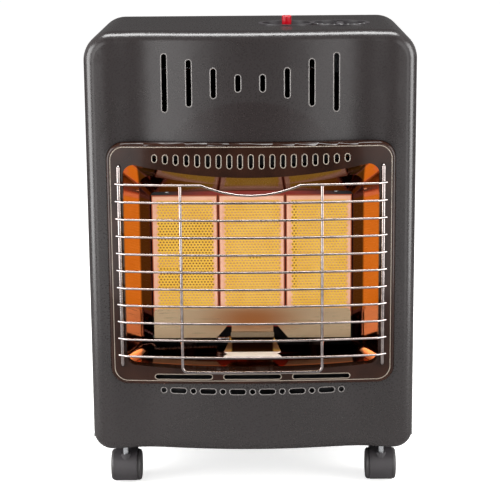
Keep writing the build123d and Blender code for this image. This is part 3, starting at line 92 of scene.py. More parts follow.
print("mid grey in linear light:", round(colour("#808080")[0], 3))

# %% [markdown]
# ## One function that adds a node
#
# Shader trees and geometry trees are wired the same way. A value in `links` is a plain number or
# colour for a socket, or another node, whose first visible output is then linked. A pair gives a
# node and the name or number of one of its outputs, and a list links several nodes to one socket.
# `wire` does that for a node that is already there, such as a new material's shader, and `add`
# makes the node first.

# %% Helpers for nodes
def wire(tree, node, links):
    """Fill a node's inputs from plain values or from other nodes."""
    for key, value in links.items():
        socket = node.inputs[key]
        for source in value if isinstance(value, list) else [value]:
            if isinstance(source, bpy.types.Node):
                tree.links.new(next(output for output in source.outputs if output.enabled), socket)
            elif isinstance(source, tuple) and isinstance(source[0], bpy.types.Node):
                tree.links.new(source[0].outputs[source[1]], socket)
            else:
                socket.default_value = source


def add(tree, kind, links=None, **settings):
    """Add a node with its settings, and fill its inputs."""
    node = tree.nodes.new(kind)
    for name, value in settings.items():
        setattr(node, name, value)
    wire(tree, node, links or {})
    return node


def new_finish(name, values):
    """A material, its tree and its Principled shader, which gets the finish's plain values."""
    material = bpy.data.materials.new(name)
    material.use_nodes = True
    tree = material.node_tree
    shader = tree.nodes["Principled BSDF"]
    wire(tree, shader, values)
    return material, tree, shader


def show(made, tree):
    """Say how many nodes a finish or a geometry tree took, and hand it on."""
    print(made.name, "takes", len(tree.nodes), "nodes")
    return made


# %% [markdown]
# ## Grain from a real size
#
# Most finishes here are one noise pattern used two ways: it moves the roughness a little and it
# lifts the surface a little. The noise repeats about once per unit of its scale, so a grain size in
# millimetres gives the scale. A stretch along one axis turns the grain into brush lines.

# %% Grain helpers
NOISE_LOW, NOISE_HIGH = 0.3, 0.7     # nearly all of a noise's values lie between these


def grain(tree, size, stretch=(1, 1, 1), detail=3.0):
    """Noise in Object coordinates with features about `size` metres across, stretched per axis."""
    place = add(tree, "ShaderNodeTexCoord")
    turned = add(tree, "ShaderNodeMapping", {
        "Vector": (place, "Object"), "Scale": tuple(1 / (size * part) for part in stretch),
    })
    return add(tree, "ShaderNodeTexNoise", {"Vector": turned, "Scale": 1.0, "Detail": detail})


def vary(tree, pattern, low, high):
    """The pattern's values spread between low and high."""
    return add(tree, "ShaderNodeMapRange", {
        "Value": pattern, "From Min": NOISE_LOW, "From Max": NOISE_HIGH, "To Min": low, "To Max": high,
    })


def emboss(tree, shader, pattern, height):
    """Lift the surface by the pattern, `height` metres at most."""
    bump = add(tree, "ShaderNodeBump", {"Height": pattern, "Distance": height, "Strength": 1.0})
    wire(tree, shader, {"Normal": bump})


def between(tree, pattern, first, second):
    """A colour between two others, each a hex colour or another mix, by the pattern."""
    ends = [colour(end) if isinstance(end, str) else end for end in (first, second)]
    mix = add(tree, "ShaderNodeMix", {0: pattern, 6: ends[0], 7: ends[1]}, data_type="RGBA")
    return mix, 2


# %% [markdown]
# ## Nearness that fades with distance
#
# Several finishes change near a centre: the deflector's heat tint, the painted red glow next to the
# burner and the darker dome above the bezel. They share one measure: 1 close to a centre, falling
# smoothly to 0 further out, and flattened where the zone is wider than it is tall.

# %% Nearness helper
plaque_low, plaque_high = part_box("ceramic_plaque_middle")
burner_middle = (plaque_low + plaque_high) / 2


def nearness(tree, centre, near, far, flatten):
    """1 near the centre, falling to 0 at `far` metres from it; each axis is first multiplied by its share."""
    place = add(tree, "ShaderNodeTexCoord")
    moved = add(tree, "ShaderNodeVectorMath", {
        0: (place, "Object"), 1: tuple(centre),
    }, operation="SUBTRACT")
    scaled = add(tree, "ShaderNodeVectorMath", {0: moved, 1: flatten}, operation="MULTIPLY")
    away = add(tree, "ShaderNodeVectorMath", {0: scaled}, operation="LENGTH")
    return add(tree, "ShaderNodeMapRange", {
        "Value": (away, "Value"), "From Min": near, "From Max": far, "To Min": 1.0, "To Max": 0.0,
    }, interpolation_type="SMOOTHSTEP")


print("burner middle, mm:", [round(value / MM) for value in burner_middle])

# %% [markdown]
# ## Powder-coated steel
#
# The cabinet is pressed sheet with a satin charcoal powder coat. Powder melts into a skin with a
# faint orange-peel texture, so highlights are wide and soft and never quite even. The real grain is
# about 0.6 mm, which is too fine to show from two metres, so it is drawn at 2 mm. Above the bezel
# the coat is darker and warmer, in the shape of a dome.

# %% Cabinet powder coat
PEEL, PEEL_HEIGHT = 2.0 * MM, 0.006 * MM
COAT_CLOUD = 60 * MM
DOME_MIDDLE = (0.0, -200 * MM, 452 * MM)
DOME_HALF_WIDTH = 103 * MM
DOME_HEIGHT = 68 * MM
DOME_EDGE = (0.94, 1.04)     # where its edge starts and ends to fade, as shares of its size


def powder_coated_steel():
    material, tree, shader = new_finish("powder_coated_steel", {})
    peel = grain(tree, PEEL, detail=0.0)
    cloud = grain(tree, COAT_CLOUD, detail=0.0)
    near, far = [share * DOME_HALF_WIDTH for share in DOME_EDGE]
    # the darker, warmer dome above the bezel
    dome_share = nearness(tree, DOME_MIDDLE, near, far, (1, 1, DOME_HALF_WIDTH / DOME_HEIGHT))
    plain = between(tree, cloud, "#201c1c", "#242020")
    wire(tree, shader, {
        "Base Color": between(tree, dome_share, plain, "#1e1818"), "Roughness": vary(tree, peel, 0.27, 0.29),
    })
    emboss(tree, shader, peel, PEEL_HEIGHT)
    return show(material, tree)


powder_coat = powder_coated_steel()

# %% [markdown]
# ## Heat-proof enamel
#
# The bezel round the burner is fired with vitreous enamel, which is glass. It is almost black, a
# little brown, and reflects like a wet surface, so its edges draw thin bright lines.

# %% Bezel enamel
ENAMEL_CLOUD, ENAMEL_WAVE = 35 * MM, 0.05 * MM


def vitreous_enamel():
    material, tree, shader = new_finish("vitreous_enamel", {
        "Roughness": 0.14, "Specular IOR Level": 0.18, "Coat Weight": 0.08, "Coat Roughness": 0.04,
    })
    cloud = grain(tree, ENAMEL_CLOUD, detail=1.0)
    wire(tree, shader, {"Base Color": between(tree, vary(tree, cloud, 0.0, 1.0), "#1a0d08", "#27150e")})
    emboss(tree, shader, cloud, ENAMEL_WAVE)
    return show(material, tree)


bezel_enamel = vitreous_enamel()

# %% [markdown]
# ## Metals
#
# Bare metals differ in colour, in how rough they are and in the lines their making leaves. Chrome
# is nearly smooth, and drawn tube has fine lines. Zinc-coated sheet and castings are matt and
# cloudy, and the zinc-coated sheet is painted nearly black, a painted shade for the dark inside of
# the cabinet. One function makes them all from those facts. Next to the burner the zinc-coated
# sheet also gets a painted dull red glow.

# %% Metals
# the painted red glow reaches little behind the plaques
BURNER_SHAPE = (0.78, 4.5, 1.15)     # what stands behind the plaques stays cool
RED_NEAR, RED_FAR = 102 * MM, 135 * MM
RED_LEVEL = 0.5


def metal(name, dark, light, smooth, rough, size, stretch=(1, 1, 1), height=0.0):
    """A bare metal between two colours and two roughnesses, with the size and stretch of its grain."""
    material, tree, shader = new_finish(name, {"Metallic": 1.0})
    pattern = grain(tree, size, stretch)
    wire(tree, shader, {
        "Base Color": between(tree, vary(tree, pattern, 0.0, 1.0), dark, light),
        "Roughness": vary(tree, pattern, smooth, rough),
    })
    if height:
        emboss(tree, shader, pattern, height)
    return show(material, tree)


def paint_red_glow(material, near, far, level):
    """Paint a dull red glow on a finish close to the burner; the glow is painted light."""
    tree = material.node_tree
    close = nearness(tree, burner_middle, near, far, BURNER_SHAPE)
    wire(tree, tree.nodes["Principled BSDF"], {
        "Emission Color": colour("#a8301a"),
        "Emission Strength": add(tree, "ShaderNodeMath", {0: close, 1: level}, operation="MULTIPLY"),
    })


chromed_wire = metal("chromed_wire", "#8a807d", "#9f9592", 0.12, 0.20, 6 * MM)
# painted shade: the zinc-coated sheet is drawn nearly black, for the dark inside of the cabinet
zinc_plated_sheet = metal("zinc_plated_sheet", "#2f2f31", "#3d3d3f", 0.40, 0.52, 12 * MM, height=0.02 * MM)
drawn_aluminium = metal("drawn_aluminium", "#b9bcc0", "#d0d2d5", 0.22, 0.34, 3 * MM, (1, 1, 8))
machined_brass = metal("machined_brass", "#a8843f", "#c39f58", 0.18, 0.30, 2 * MM)
die_cast_aluminium = metal("die_cast_aluminium", "#84868a", "#9b9da0", 0.40, 0.55, 2 * MM, height=0.05 * MM)
bright_zinc_steel = metal("bright_zinc_steel", "#b9bbbe", "#d2d3d5", 0.16, 0.28, 3 * MM)
# painted light: a dull red glow on the zinc-coated sheet next to the burner
paint_red_glow(zinc_plated_sheet, RED_NEAR, RED_FAR, RED_LEVEL)

# %% [markdown]
# ## Mirror sheet next to the fire
#
# Polished stainless round the burners keeps its mirror. Its colour is partly heat tint and partly
# painted reflection: the folded inner part, next to the plaques, is painted darkest and the floor
# a dull brown, for the dark parts they mirror, and the outer sides and front lip a bright orange,
# for the plaques' glow they mirror, so its colour follows the place on the sheet. Each change of
# colour is a step over an edge that is measured along one axis.

# %% Mirror stainless
# edges where the painted reflection changes colour, over a heat tint
SIDE_X = 144.5 * MM          # beyond this the reflector keeps its bright outer face
LIP_Y = -192.5 * MM          # ahead of this is its turned front lip
FLOOR_TOP_Z = 192 * MM       # below this the reflector is its own floor
SIDE_BLEND, LIP_BLEND, FLOOR_BLEND = 3 * MM, 1 * MM, 6 * MM
POLISH_LINES = 3 * MM


def object_axes(tree):
    """The Object coordinates as X, Y and Z."""
    place = add(tree, "ShaderNodeTexCoord")
    return add(tree, "ShaderNodeSeparateXYZ", {0: (place, "Object")})


def past(tree, value, edge, width, before=0.0, beyond=1.0):
    """`before` below the edge and `beyond` above it, blended over a width."""
    return add(tree, "ShaderNodeMapRange", {
        "Value": value, "From Min": edge - width / 2, "From Max": edge + width / 2,
        "To Min": before, "To Max": beyond,
    }, interpolation_type="SMOOTHSTEP")


def mirror_stainless():
    material, tree, shader = new_finish("mirror_stainless", {"Metallic": 1.0})
    lines = grain(tree, POLISH_LINES, (12, 1, 1))
    axes = object_axes(tree)
    across = add(tree, "ShaderNodeMath", {0: (axes, "X")}, operation="ABSOLUTE")
    outer = past(tree, across, SIDE_X, SIDE_BLEND)
    lip = past(tree, (axes, "Y"), LIP_Y, LIP_BLEND, 1.0, 0.0)
    bright = add(tree, "ShaderNodeMath", {0: outer, 1: lip}, operation="MAXIMUM")
    low_down = past(tree, (axes, "Z"), FLOOR_TOP_Z, FLOOR_BLEND, 1.0, 0.0)
    inner = between(tree, low_down, "#46201c", "#8c6250")
    # painted reflection: bright orange outer faces and lip, a dark brown inner fold and a brown floor
    wire(tree, shader, {
        "Base Color": between(tree, bright, inner, "#dc8658"), "Roughness": vary(tree, lines, 0.05, 0.13),
    })
    return show(material, tree)


reflector_finish = mirror_stainless()

# %% [markdown]
# ## Deflector and pilot hood
#
# The deflector below the plaques is brushed along its length and is brownest in the middle of its
# top edge. The hood over the pilot is polished, and its colours are painted light: a painted
# reflection of the reflector's dark floor, painted highlights down its lighter folded sides and a
# painted highlight on its bright lip in front.

# %% Brushed and folded stainless
BRUSH_LINES, BRUSH_DEPTH = 1.6 * MM, 0.005 * MM
BROWN_NEAR, BROWN_FAR = 10 * MM, 75 * MM
BROWN_SHAPE = (0.8, 1, 2.4)
# the hood's dark part, light sides and bright lip are painted reflection and painted highlights
HOOD_Y = -151 * MM           # ahead of this the pilot shield is a dark polished hood
HOOD_LIP_Y = -179 * MM       # and ahead of this its bright lip
HOOD_SIDE_X = 27 * MM        # light runs down its folded sides
HOOD_BLEND, HOOD_LIP_BLEND = 3 * MM, 2 * MM


def brushed_stainless():
    material, tree, shader = new_finish("brushed_tinted_stainless", {"Metallic": 1.0})
    lines = grain(tree, BRUSH_LINES, (40, 1, 1))
    top_middle = (0, plaque_low.y, plaque_low.z)
    browned = nearness(tree, top_middle, BROWN_NEAR, BROWN_FAR, BROWN_SHAPE)
    wire(tree, shader, {
        "Base Color": between(tree, browned, "#dcbf9a", "#b87444"),
        "Roughness": vary(tree, lines, 0.26, 0.36),
    })
    emboss(tree, shader, lines, BRUSH_DEPTH)
    return show(material, tree)


def hood_stainless():
    material, tree, shader = new_finish("hood_stainless", {"Roughness": 0.16})
    axes = object_axes(tree)
    aside = add(tree, "ShaderNodeMath", {0: (axes, "X")}, operation="ABSOLUTE")
    # painted reflection of the dark floor, with painted highlights on the folded sides and the lip
    hood = between(tree, past(tree, aside, HOOD_SIDE_X, HOOD_BLEND), "#33201d", "#d6ccc8")
    upper = between(tree, past(tree, (axes, "Y"), HOOD_Y, HOOD_BLEND, 1.0, 0.0), "#a08a70", hood)
    lip = past(tree, (axes, "Y"), HOOD_LIP_Y, HOOD_LIP_BLEND, 1.0, 0.0)
    wire(tree, shader, {
        "Base Color": between(tree, lip, upper, "#e6dccf"),
        "Metallic": add(tree, "ShaderNodeMapRange", {"Value": lip, "To Min": 1.0, "To Max": 0.15}),
    })
    return show(material, tree)


deflector_finish = brushed_stainless()
hood_finish = hood_stainless()

# %% [markdown]
# ## Glowing ceramic
#
# Gas burns in the holes of each plaque and heats the face to about 900 degrees, so the plaque is a
# lamp as well as a piece. The face glows a steady yellow-orange. The unheated border is pale and
# pink, and its glow is painted light that stands for the light of its neighbours. The light must
# stay below the level that clips to white, because the colour is what tells the eye that it is hot.

# %% Plaque ceramic
CERAMIC_CLOUD = 18 * MM


def glowing_ceramic(name, base, cool, hot, strength):
    material, tree, shader = new_finish(name, {
        "Base Color": colour(base), "Roughness": 0.85, "Emission Strength": strength,
    })
    cloud = vary(tree, grain(tree, CERAMIC_CLOUD, detail=2.0), 0.0, 1.0)
    wire(tree, shader, {"Emission Color": between(tree, cloud, cool, hot)})
    return show(material, tree)


glowing_face = glowing_ceramic("glowing_ceramic_face", "#5a4420", "#f2bb34", "#f8c642", 0.80)
glowing_holes = glowing_ceramic("glowing_ceramic_holes", "#3a2410", "#7c4a0c", "#865210", 0.78)
# the border's glow is painted light, for the light of the plaques next to it
plaque_border = glowing_ceramic("warm_ceramic_border", "#8a6a5a", "#dba183", "#e8b294", 0.72)

# %% [markdown]
# ## Dull red steel
#
# The boxes that hold the plaques are aluminised sheet. Their front edges, in the gaps between the
# plaques, get a painted dull red glow, and they are dark a finger's width further back.

# %% Box sheet with a painted glow
GLOW_EDGE_Y = -128 * MM
GLOW_EDGE_FADE = 16 * MM
PAINTED_EDGE_GLOW = 0.8


def box_sheet_painted_glow():
    material, tree, shader = new_finish("aluminised_sheet_heated", {
        "Base Color": colour("#4a3a36"), "Roughness": 0.5, "Metallic": 1.0,
        "Emission Color": colour("#c05a38"),
    })
    # painted glow on the front edges, fading a finger's width back
    glow = past(tree, (object_axes(tree), "Y"), GLOW_EDGE_Y, GLOW_EDGE_FADE, PAINTED_EDGE_GLOW, 0.0)
    wire(tree, shader, {"Emission Strength": glow})
    return show(material, tree)


box_finish = box_sheet_painted_glow()

# %% [markdown]
# ## Plastics, glaze and print
#
# The dish, knob, hoods and wheels are moulded. A spark-eroded mould leaves a fine matt grain, a
# polished one leaves gloss, as on the red button. Glazed ceramic and pad-printed ink are as plain:
# one colour, with a roughness that varies a little over a fine texture.

# %% Finishes of one colour
ROUGHNESS_SPREAD = 0.05


def plain_textured(name, base, roughness, size, height):
    """One colour, with a fine texture of a size and a height."""
    material, tree, shader = new_finish(name, {"Base Color": colour(base)})
    texture = grain(tree, size)
    low, high = roughness - ROUGHNESS_SPREAD, roughness + ROUGHNESS_SPREAD
    wire(tree, shader, {"Roughness": vary(tree, texture, low, high)})
    emboss(tree, shader, texture, height)
    return show(material, tree)


grained_abs = plain_textured("grained_black_abs", "#343133", 0.40, 1.2 * MM, 0.03 * MM)
gloss_red_abs = plain_textured("gloss_red_abs", "#b00a1c", 0.10, 8 * MM, 0.01 * MM)
black_nylon = plain_textured("black_nylon", "#383536", 0.48, 1.5 * MM, 0.03 * MM)
glazed_alumina = plain_textured("glazed_alumina", "#ece8e0", 0.15, 5 * MM, 0.01 * MM)
white_print = plain_textured("white_pad_print", "#e9e9e6", 0.5, 1.0 * MM, 0.01 * MM)

# %% [markdown]
# ## Dress the solids
#
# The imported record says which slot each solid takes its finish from, so one dictionary dresses the
# whole frame and no solid is forgotten. Only the pilot shield has a finish of its own.

# %% Finishes by slot
FINISHES = {
    "cabinet_enamel": powder_coat,
    "zinc_steel": zinc_plated_sheet,
    "bezel_enamel": bezel_enamel,
    "guard_chrome": chromed_wire,
    "polished_stainless": reflector_finish,
    "brushed_stainless": deflector_finish,
    "aluminised_steel": box_finish,
    "plaque_ceramic": plaque_border,
    "aluminium_tube": drawn_aluminium,
    "brass": machined_brass,
    "valve_casting": die_cast_aluminium,
    "bright_steel": bright_zinc_steel,
    "spark_ceramic": glazed_alumina,
    "black_plastic": grained_abs,
    "red_plastic": gloss_red_abs,
    "wheel_nylon": black_nylon,
}
slot_of = {part["node"]: part["material_slot"] for part in frame["record"]["subparts"]}
for name, piece in nodes.items():
    piece.data.materials.clear()
    piece.data.materials.append(FINISHES[slot_of[name]])
nodes["pilot_shield"].data.materials[0] = hood_finish
print("dressed", len(nodes), "solids in", len(FINISHES) + 1, "finishes")

# %% [markdown]
# ## Geometry Nodes, and back to a plain mesh
#
# What repeats is made by a geometry tree with named inputs. `new_tree` opens one, `close_tree` ends
# it in Realize Instances and Set Material, and `make_piece` runs it, keeps the result as a plain
# mesh and puts the piece on its body.

# %% Tree helpers
def new_tree(name, inputs):
    """A geometry tree with named inputs; gives the tree and its input node."""
    tree = bpy.data.node_groups.new(name, "GeometryNodeTree")
    for title, kind in inputs.items():
        tree.interface.new_socket(name=title, in_out="INPUT", socket_type=f"NodeSocket{kind}")
    tree.interface.new_socket(name="Geometry", in_out="OUTPUT", socket_type="NodeSocketGeometry")
    return tree, add(tree, "NodeGroupInput")


def close_tree(tree, geometry, material, selection=True):
    """End a tree in real geometry, with a material on what is selected."""
    real = add(tree, "GeometryNodeRealizeInstances", {"Geometry": geometry})
    dressed = add(tree, "GeometryNodeSetMaterial", {
        "Geometry": real, "Selection": selection, "Material": material,
    })
    add(tree, "NodeGroupOutput", {0: dressed})
    return show(tree, tree)


def make_piece(name, tree, values, body, start=None):
    """Run a geometry tree on a start mesh, if it has one, and keep the result as a mesh on a body."""
    carrier = bpy.data.objects.new(name, start or bpy.data.meshes.new(name))
    bpy.context.scene.collection.objects.link(carrier)
    modifier = carrier.modifiers.new(name, "NODES")
    modifier.node_group = tree
    sockets = {item.name: item.identifier for item in tree.interface.items_tree if item.in_out == "INPUT"}
    for title, value in values.items():
        modifier[sockets[title]] = value
    graph = bpy.context.evaluated_depsgraph_get()
    mesh = bpy.data.meshes.new_from_object(carrier.evaluated_get(graph), depsgraph=graph)
    carrier.modifiers.remove(modifier)
    carrier.data = mesh
    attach(carrier, body)
    mesh.calc_loop_triangles()
    print(name, "has", len(mesh.loop_triangles), "triangles")
    return carrier


# %% [markdown]
# ## Perforated plaques
#
# Each plaque is a tile with more than a thousand holes in staggered rows. A staggered grid,
# triangulated and turned into its dual, is a sheet of hexagons, one for each hole. Every hexagon is
# inset and pushed back, which leaves a wall between neighbours. The real holes are about 1.3 mm
# wide and 1.8 mm apart. They are drawn 4.0 mm apart, so that they show.

# %% Staggered grid and its holes
HOLE_PITCH = 4.0 * MM
HOLE_DEPTH = 1.5 * MM
HOLE_SHARE = 0.58            # width of a hole as a share of its hexagon
BORDER = 3.2 * MM
ROW_RISE = math.sqrt(0.75)   # height of a row of equal triangles, as a share of the pitch


def staggered_grid(tree, width, height, pitch):
    """A grid with every second row moved half a pitch along."""
    columns = add(tree, "ShaderNodeMath", {0: width, 1: pitch}, operation="DIVIDE")
    row_pitch = add(tree, "ShaderNodeMath", {0: pitch, 1: ROW_RISE}, operation="MULTIPLY")
    rows = add(tree, "ShaderNodeMath", {0: height, 1: row_pitch}, operation="DIVIDE")
    grid = add(tree, "GeometryNodeMeshGrid", {
        "Size X": width, "Size Y": height, "Vertices X": columns, "Vertices Y": rows,
    })
    whole_rows = add(tree, "ShaderNodeMath", {0: rows}, operation="FLOOR")
    index = add(tree, "GeometryNodeInputIndex")
    row = add(tree, "ShaderNodeMath", {0: index, 1: whole_rows}, operation="FLOORED_MODULO")
    odd = add(tree, "ShaderNodeMath", {0: row, 1: 2.0}, operation="FLOORED_MODULO")
    shift = add(tree, "ShaderNodeMath", {0: odd, 1: pitch}, operation="MULTIPLY")
    half_shift = add(tree, "ShaderNodeMath", {0: shift, 1: 0.5}, operation="MULTIPLY")
    return add(tree, "GeometryNodeSetPosition", {
        "Geometry": grid, "Offset": add(tree, "ShaderNodeCombineXYZ", {"X": half_shift}),
    })


def punched(tree, grid, back, face, holes):
    """The grid's dual, with each hexagon inset and pushed back, in a face and a hole finish."""
    triangles = add(tree, "GeometryNodeTriangulate", {"Mesh": grid}, quad_method="SHORTEST_DIAGONAL")
    cells = add(tree, "GeometryNodeDualMesh", {"Mesh": triangles})
    inset = add(tree, "GeometryNodeExtrudeMesh", {"Mesh": cells, "Offset Scale": 0.0, "Individual": True})
    shrunk = add(tree, "GeometryNodeScaleElements", {
        "Geometry": inset, "Selection": (inset, "Top"), "Scale": HOLE_SHARE,
    }, domain="FACE")
    pushed = add(tree, "GeometryNodeExtrudeMesh", {
        "Mesh": shrunk, "Selection": (inset, "Top"), "Offset Scale": back, "Individual": True,
    })
    lit = add(tree, "GeometryNodeSetMaterial", {"Geometry": pushed, "Material": face})
    return add(tree, "GeometryNodeSetMaterial", {
        "Geometry": lit, "Selection": (pushed, "Top"), "Material": holes,
    })


print("holes at", round(HOLE_PITCH / MM, 1), "mm, in rows", round(HOLE_PITCH * ROW_RISE / MM, 2), "mm apart")

# %% [markdown]
# The perforated face lies in a rim of plain ceramic, and the tile behind it closes the holes. The
# tile is built flat, with its face up, and then stood upright.

# %% Whole plaques
def plain_tile(tree, size, opening, back, finish):
    """A flat frame round an opening, and the slab behind the frame and the holes."""
    outer = add(tree, "GeometryNodeCurvePrimitiveQuadrilateral", {"Width": size[0], "Height": size[1]})
    inner = add(tree, "GeometryNodeCurvePrimitiveQuadrilateral", {
        "Width": opening[0], "Height": opening[1],
    })
    both = add(tree, "GeometryNodeJoinGeometry", {0: [outer, inner]})
    ring = add(tree, "GeometryNodeFillCurve", {"Curve": both}, mode="NGONS")
    rim = add(tree, "GeometryNodeExtrudeMesh", {"Mesh": ring, "Offset Scale": back, "Individual": False})
    rim_back = add(tree, "GeometryNodeFlipFaces", {"Mesh": ring})
    slab_depth = add(tree, "ShaderNodeMath", {0: size[2], 1: back}, operation="ADD")
    slab_size = add(tree, "ShaderNodeCombineXYZ", {"X": size[0], "Y": size[1], "Z": slab_depth})
    half_slab = add(tree, "ShaderNodeMath", {0: slab_depth, 1: -0.5}, operation="MULTIPLY")
    slab = add(tree, "GeometryNodeTransform", {
        "Geometry": add(tree, "GeometryNodeMeshCube", {"Size": slab_size}),
        "Translation": add(tree, "ShaderNodeCombineXYZ", {
            "Z": add(tree, "ShaderNodeMath", {0: half_slab, 1: back}, operation="ADD"),
        }),
    })
    rim_closed = add(tree, "GeometryNodeJoinGeometry", {0: [rim, rim_back]})
    whole = add(tree, "GeometryNodeJoinGeometry", {0: [rim_closed, slab]})
    return add(tree, "GeometryNodeSetMaterial", {"Geometry": whole, "Material": finish})


def plaque_tree():
    tree, given = new_tree("perforated plaque", {
        "Width": "Float", "Height": "Float", "Thickness": "Float", "Pitch": "Float", "Depth": "Float",
        "Border": "Float", "Place": "Vector", "Face": "Material", "Holes": "Material", "Rim": "Material",
    })
    size = [(given, side) for side in ("Width", "Height", "Thickness")]
    edges = add(tree, "ShaderNodeMath", {0: (given, "Border"), 1: 2.0}, operation="MULTIPLY")
    opening = [add(tree, "ShaderNodeMath", {0: side, 1: edges}, operation="SUBTRACT") for side in size[:2]]
    back = add(tree, "ShaderNodeMath", {0: (given, "Depth"), 1: -1.0}, operation="MULTIPLY")
    grid = staggered_grid(tree, *opening, (given, "Pitch"))
    face = punched(tree, grid, back, (given, "Face"), (given, "Holes"))
    tile = plain_tile(tree, size, opening, back, (given, "Rim"))
    upright = add(tree, "GeometryNodeTransform", {
        "Geometry": add(tree, "GeometryNodeJoinGeometry", {0: [face, tile]}),
        "Translation": (given, "Place"), "Rotation": (math.radians(90), 0, 0),
    })
    rim_faces = add(tree, "GeometryNodeMaterialSelection", {"Material": (given, "Rim")})
    return close_tree(tree, upright, (given, "Rim"), rim_faces)


PLAQUE_TREE = plaque_tree()
for side in ("left", "middle", "right"):
    low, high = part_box(f"ceramic_plaque_{side}")
    tile = make_piece(f"perforated_plaque_{side}", PLAQUE_TREE, {
        "Width": high.x - low.x, "Height": high.z - low.z, "Thickness": high.y - low.y,
        "Pitch": HOLE_PITCH, "Depth": HOLE_DEPTH, "Border": BORDER,
        "Place": Vector(((low.x + high.x) / 2, low.y, (low.z + high.z) / 2)),
        "Face": glowing_face, "Holes": glowing_holes, "Rim": plaque_border,
    }, "cabinet")
    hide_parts(f"ceramic_plaque_{side}")

# %% [markdown]
# ## Swaged rims round slots and vents
#
# A punch that cuts a slot in thin sheet rolls its edge over, and that rolled edge draws the slot with
# a thin line of light. The beads are coloured much lighter than the sheet, a painted highlight. Each
# outline is a stadium just outside its slot. The tree drops the outline on the curved sheet with a
# ray along Y and sweeps a small round bead along it.

# %% Rim tree
RAY_LENGTH = 300 * MM
BEAD_SIDES = 8


def rim_tree():
    tree, given = new_tree("swaged rim", {
        "Geometry": "Geometry", "Sheet": "Object", "Bead": "Float", "Sunk": "Float",
        "Step": "Float", "Finish": "Material",
    })
    sheet = add(tree, "GeometryNodeObjectInfo", {"Object": (given, "Sheet")}, transform_space="RELATIVE")
    ray = add(tree, "GeometryNodeRaycast", {
        "Target Geometry": (sheet, "Geometry"), "Ray Direction": (0.0, 1.0, 0.0), "Ray Length": RAY_LENGTH,
    })
    sink = add(tree, "ShaderNodeCombineXYZ", {"Y": (given, "Sunk")})
    seat = add(tree, "ShaderNodeVectorMath", {0: (ray, "Hit Position"), 1: sink}, operation="ADD")
    outlines = add(tree, "GeometryNodeMeshToCurve", {"Mesh": (given, "Geometry")})
    lines = add(tree, "GeometryNodeResampleCurve", {
        "Curve": outlines, "Length": (given, "Step"),
    }, mode="LENGTH")
    laid = add(tree, "GeometryNodeSetPosition", {
        "Geometry": lines, "Selection": (ray, "Is Hit"), "Position": seat,
    })
    bead = add(tree, "GeometryNodeCurvePrimitiveCircle", {
        "Resolution": BEAD_SIDES, "Radius": (given, "Bead"),
    })
    swept = add(tree, "GeometryNodeCurveToMesh", {"Curve": laid, "Profile Curve": (bead, "Curve")})
    return close_tree(tree, swept, (given, "Finish"))


RIM_TREE = rim_tree()

# %% Outline helpers
BEAD = 0.6 * MM
RIM_OUTSIDE = 0.7 * BEAD     # how far a rim's line lies outside its slot
FRONT_Y = -260 * MM          # the outlines start in front of the sheet
OUTLINE_POINTS = 24


def stadium(x, z, width, height, grow, radius=None):
    """Closed outline of a slot, `grow` outside its edge; its ends are round unless a radius is given."""
    half_w, half_h = width / 2 + grow, height / 2 + grow
    radius = radius or min(half_w, half_h)
    points = []
    for step in range(OUTLINE_POINTS):
        turn = 2 * math.pi * (step + 0.5) / OUTLINE_POINTS
        side, rise = math.cos(turn), math.sin(turn)
        points.append((
            x + math.copysign(half_w - radius, side) + radius * side, FRONT_Y,
            z + math.copysign(half_h - radius, rise) + radius * rise,
        ))
    return points


def mm_stadium(x, z, width, height):
    """Rim line of a slot whose place and size are in plain millimetres."""
    return stadium(x * MM, z * MM, width * MM, height * MM, RIM_OUTSIDE)


def outline_mesh(name, outlines):
    """Mesh of closed outlines."""
    points, edges = [], []
    for outline in outlines:
        first, count = len(points), len(outline)
        points += outline
        edges += [(first + at, first + (at + 1) % count) for at in range(count)]
    mesh = bpy.data.meshes.new(name)
    mesh.from_pydata(points, edges, [])
    print(name, "has", len(outlines), "outlines")
    return mesh


# %% [markdown]
# The panel has four pairs of tall slots above the burner, shorter towards the middle, and a row of
# round and long vents below it. The bezel has a crown of ovals, which are longest in the middle,
# three long slots at its foot, and a line pressed inside its edge.

# %% Openings of the panel, in millimetres
SLOTS = ((107.1, 72.6), (76.5, 58.5), (45.9, 37.3), (15.3, 21.3))      # place to each side, and length
SLOT_Z, SLOT_WIDTH = 542.0, 6.8
VENT_Z, VENT_PITCH, VENT_HEIGHT, DASH = 144.0, 38.2, 7.0, 20.6

panel_outlines = [mm_stadium(side * x, SLOT_Z, SLOT_WIDTH, length) for x, length in SLOTS for side in (-1, 1)]
for index in range(-3, 4):
    panel_outlines.append(mm_stadium(index * VENT_PITCH, VENT_Z, VENT_HEIGHT, VENT_HEIGHT))
    if index < 3:
        panel_outlines.append(mm_stadium((index + 0.5) * VENT_PITCH, VENT_Z, DASH, VENT_HEIGHT))
panel_lines = outline_mesh("panel_rims", panel_outlines)

# %% Openings of the bezel, in millimetres
OVALS, OVAL_PITCH, OVAL_WIDTH, OVAL_TOP_Z = 19, 13.4, 5.4, 453.5
OVAL_SHORT, OVAL_LONG = 9.0, 17.5
LONG_SLOT, LONG_SLOT_HEIGHT, LONG_SLOT_Z, LONG_SLOT_PITCH = 73.0, 6.0, 166.0, 88.0
FLANGE = 9 * MM              # the bezel's edge that is hidden behind the panel
LINE_INSET, LINE_CORNER = 5 * MM, 17 * MM

bezel_outlines = [
    mm_stadium(at * LONG_SLOT_PITCH, LONG_SLOT_Z, LONG_SLOT, LONG_SLOT_HEIGHT) for at in (-1, 0, 1)
]
for index in range(OVALS):
    off = index - (OVALS - 1) / 2
    length = OVAL_SHORT + (OVAL_LONG - OVAL_SHORT) * (1 - (2 * off / (OVALS - 1)) ** 2)
    bezel_outlines.append(mm_stadium(off * OVAL_PITCH, OVAL_TOP_Z - length / 2, OVAL_WIDTH, length))

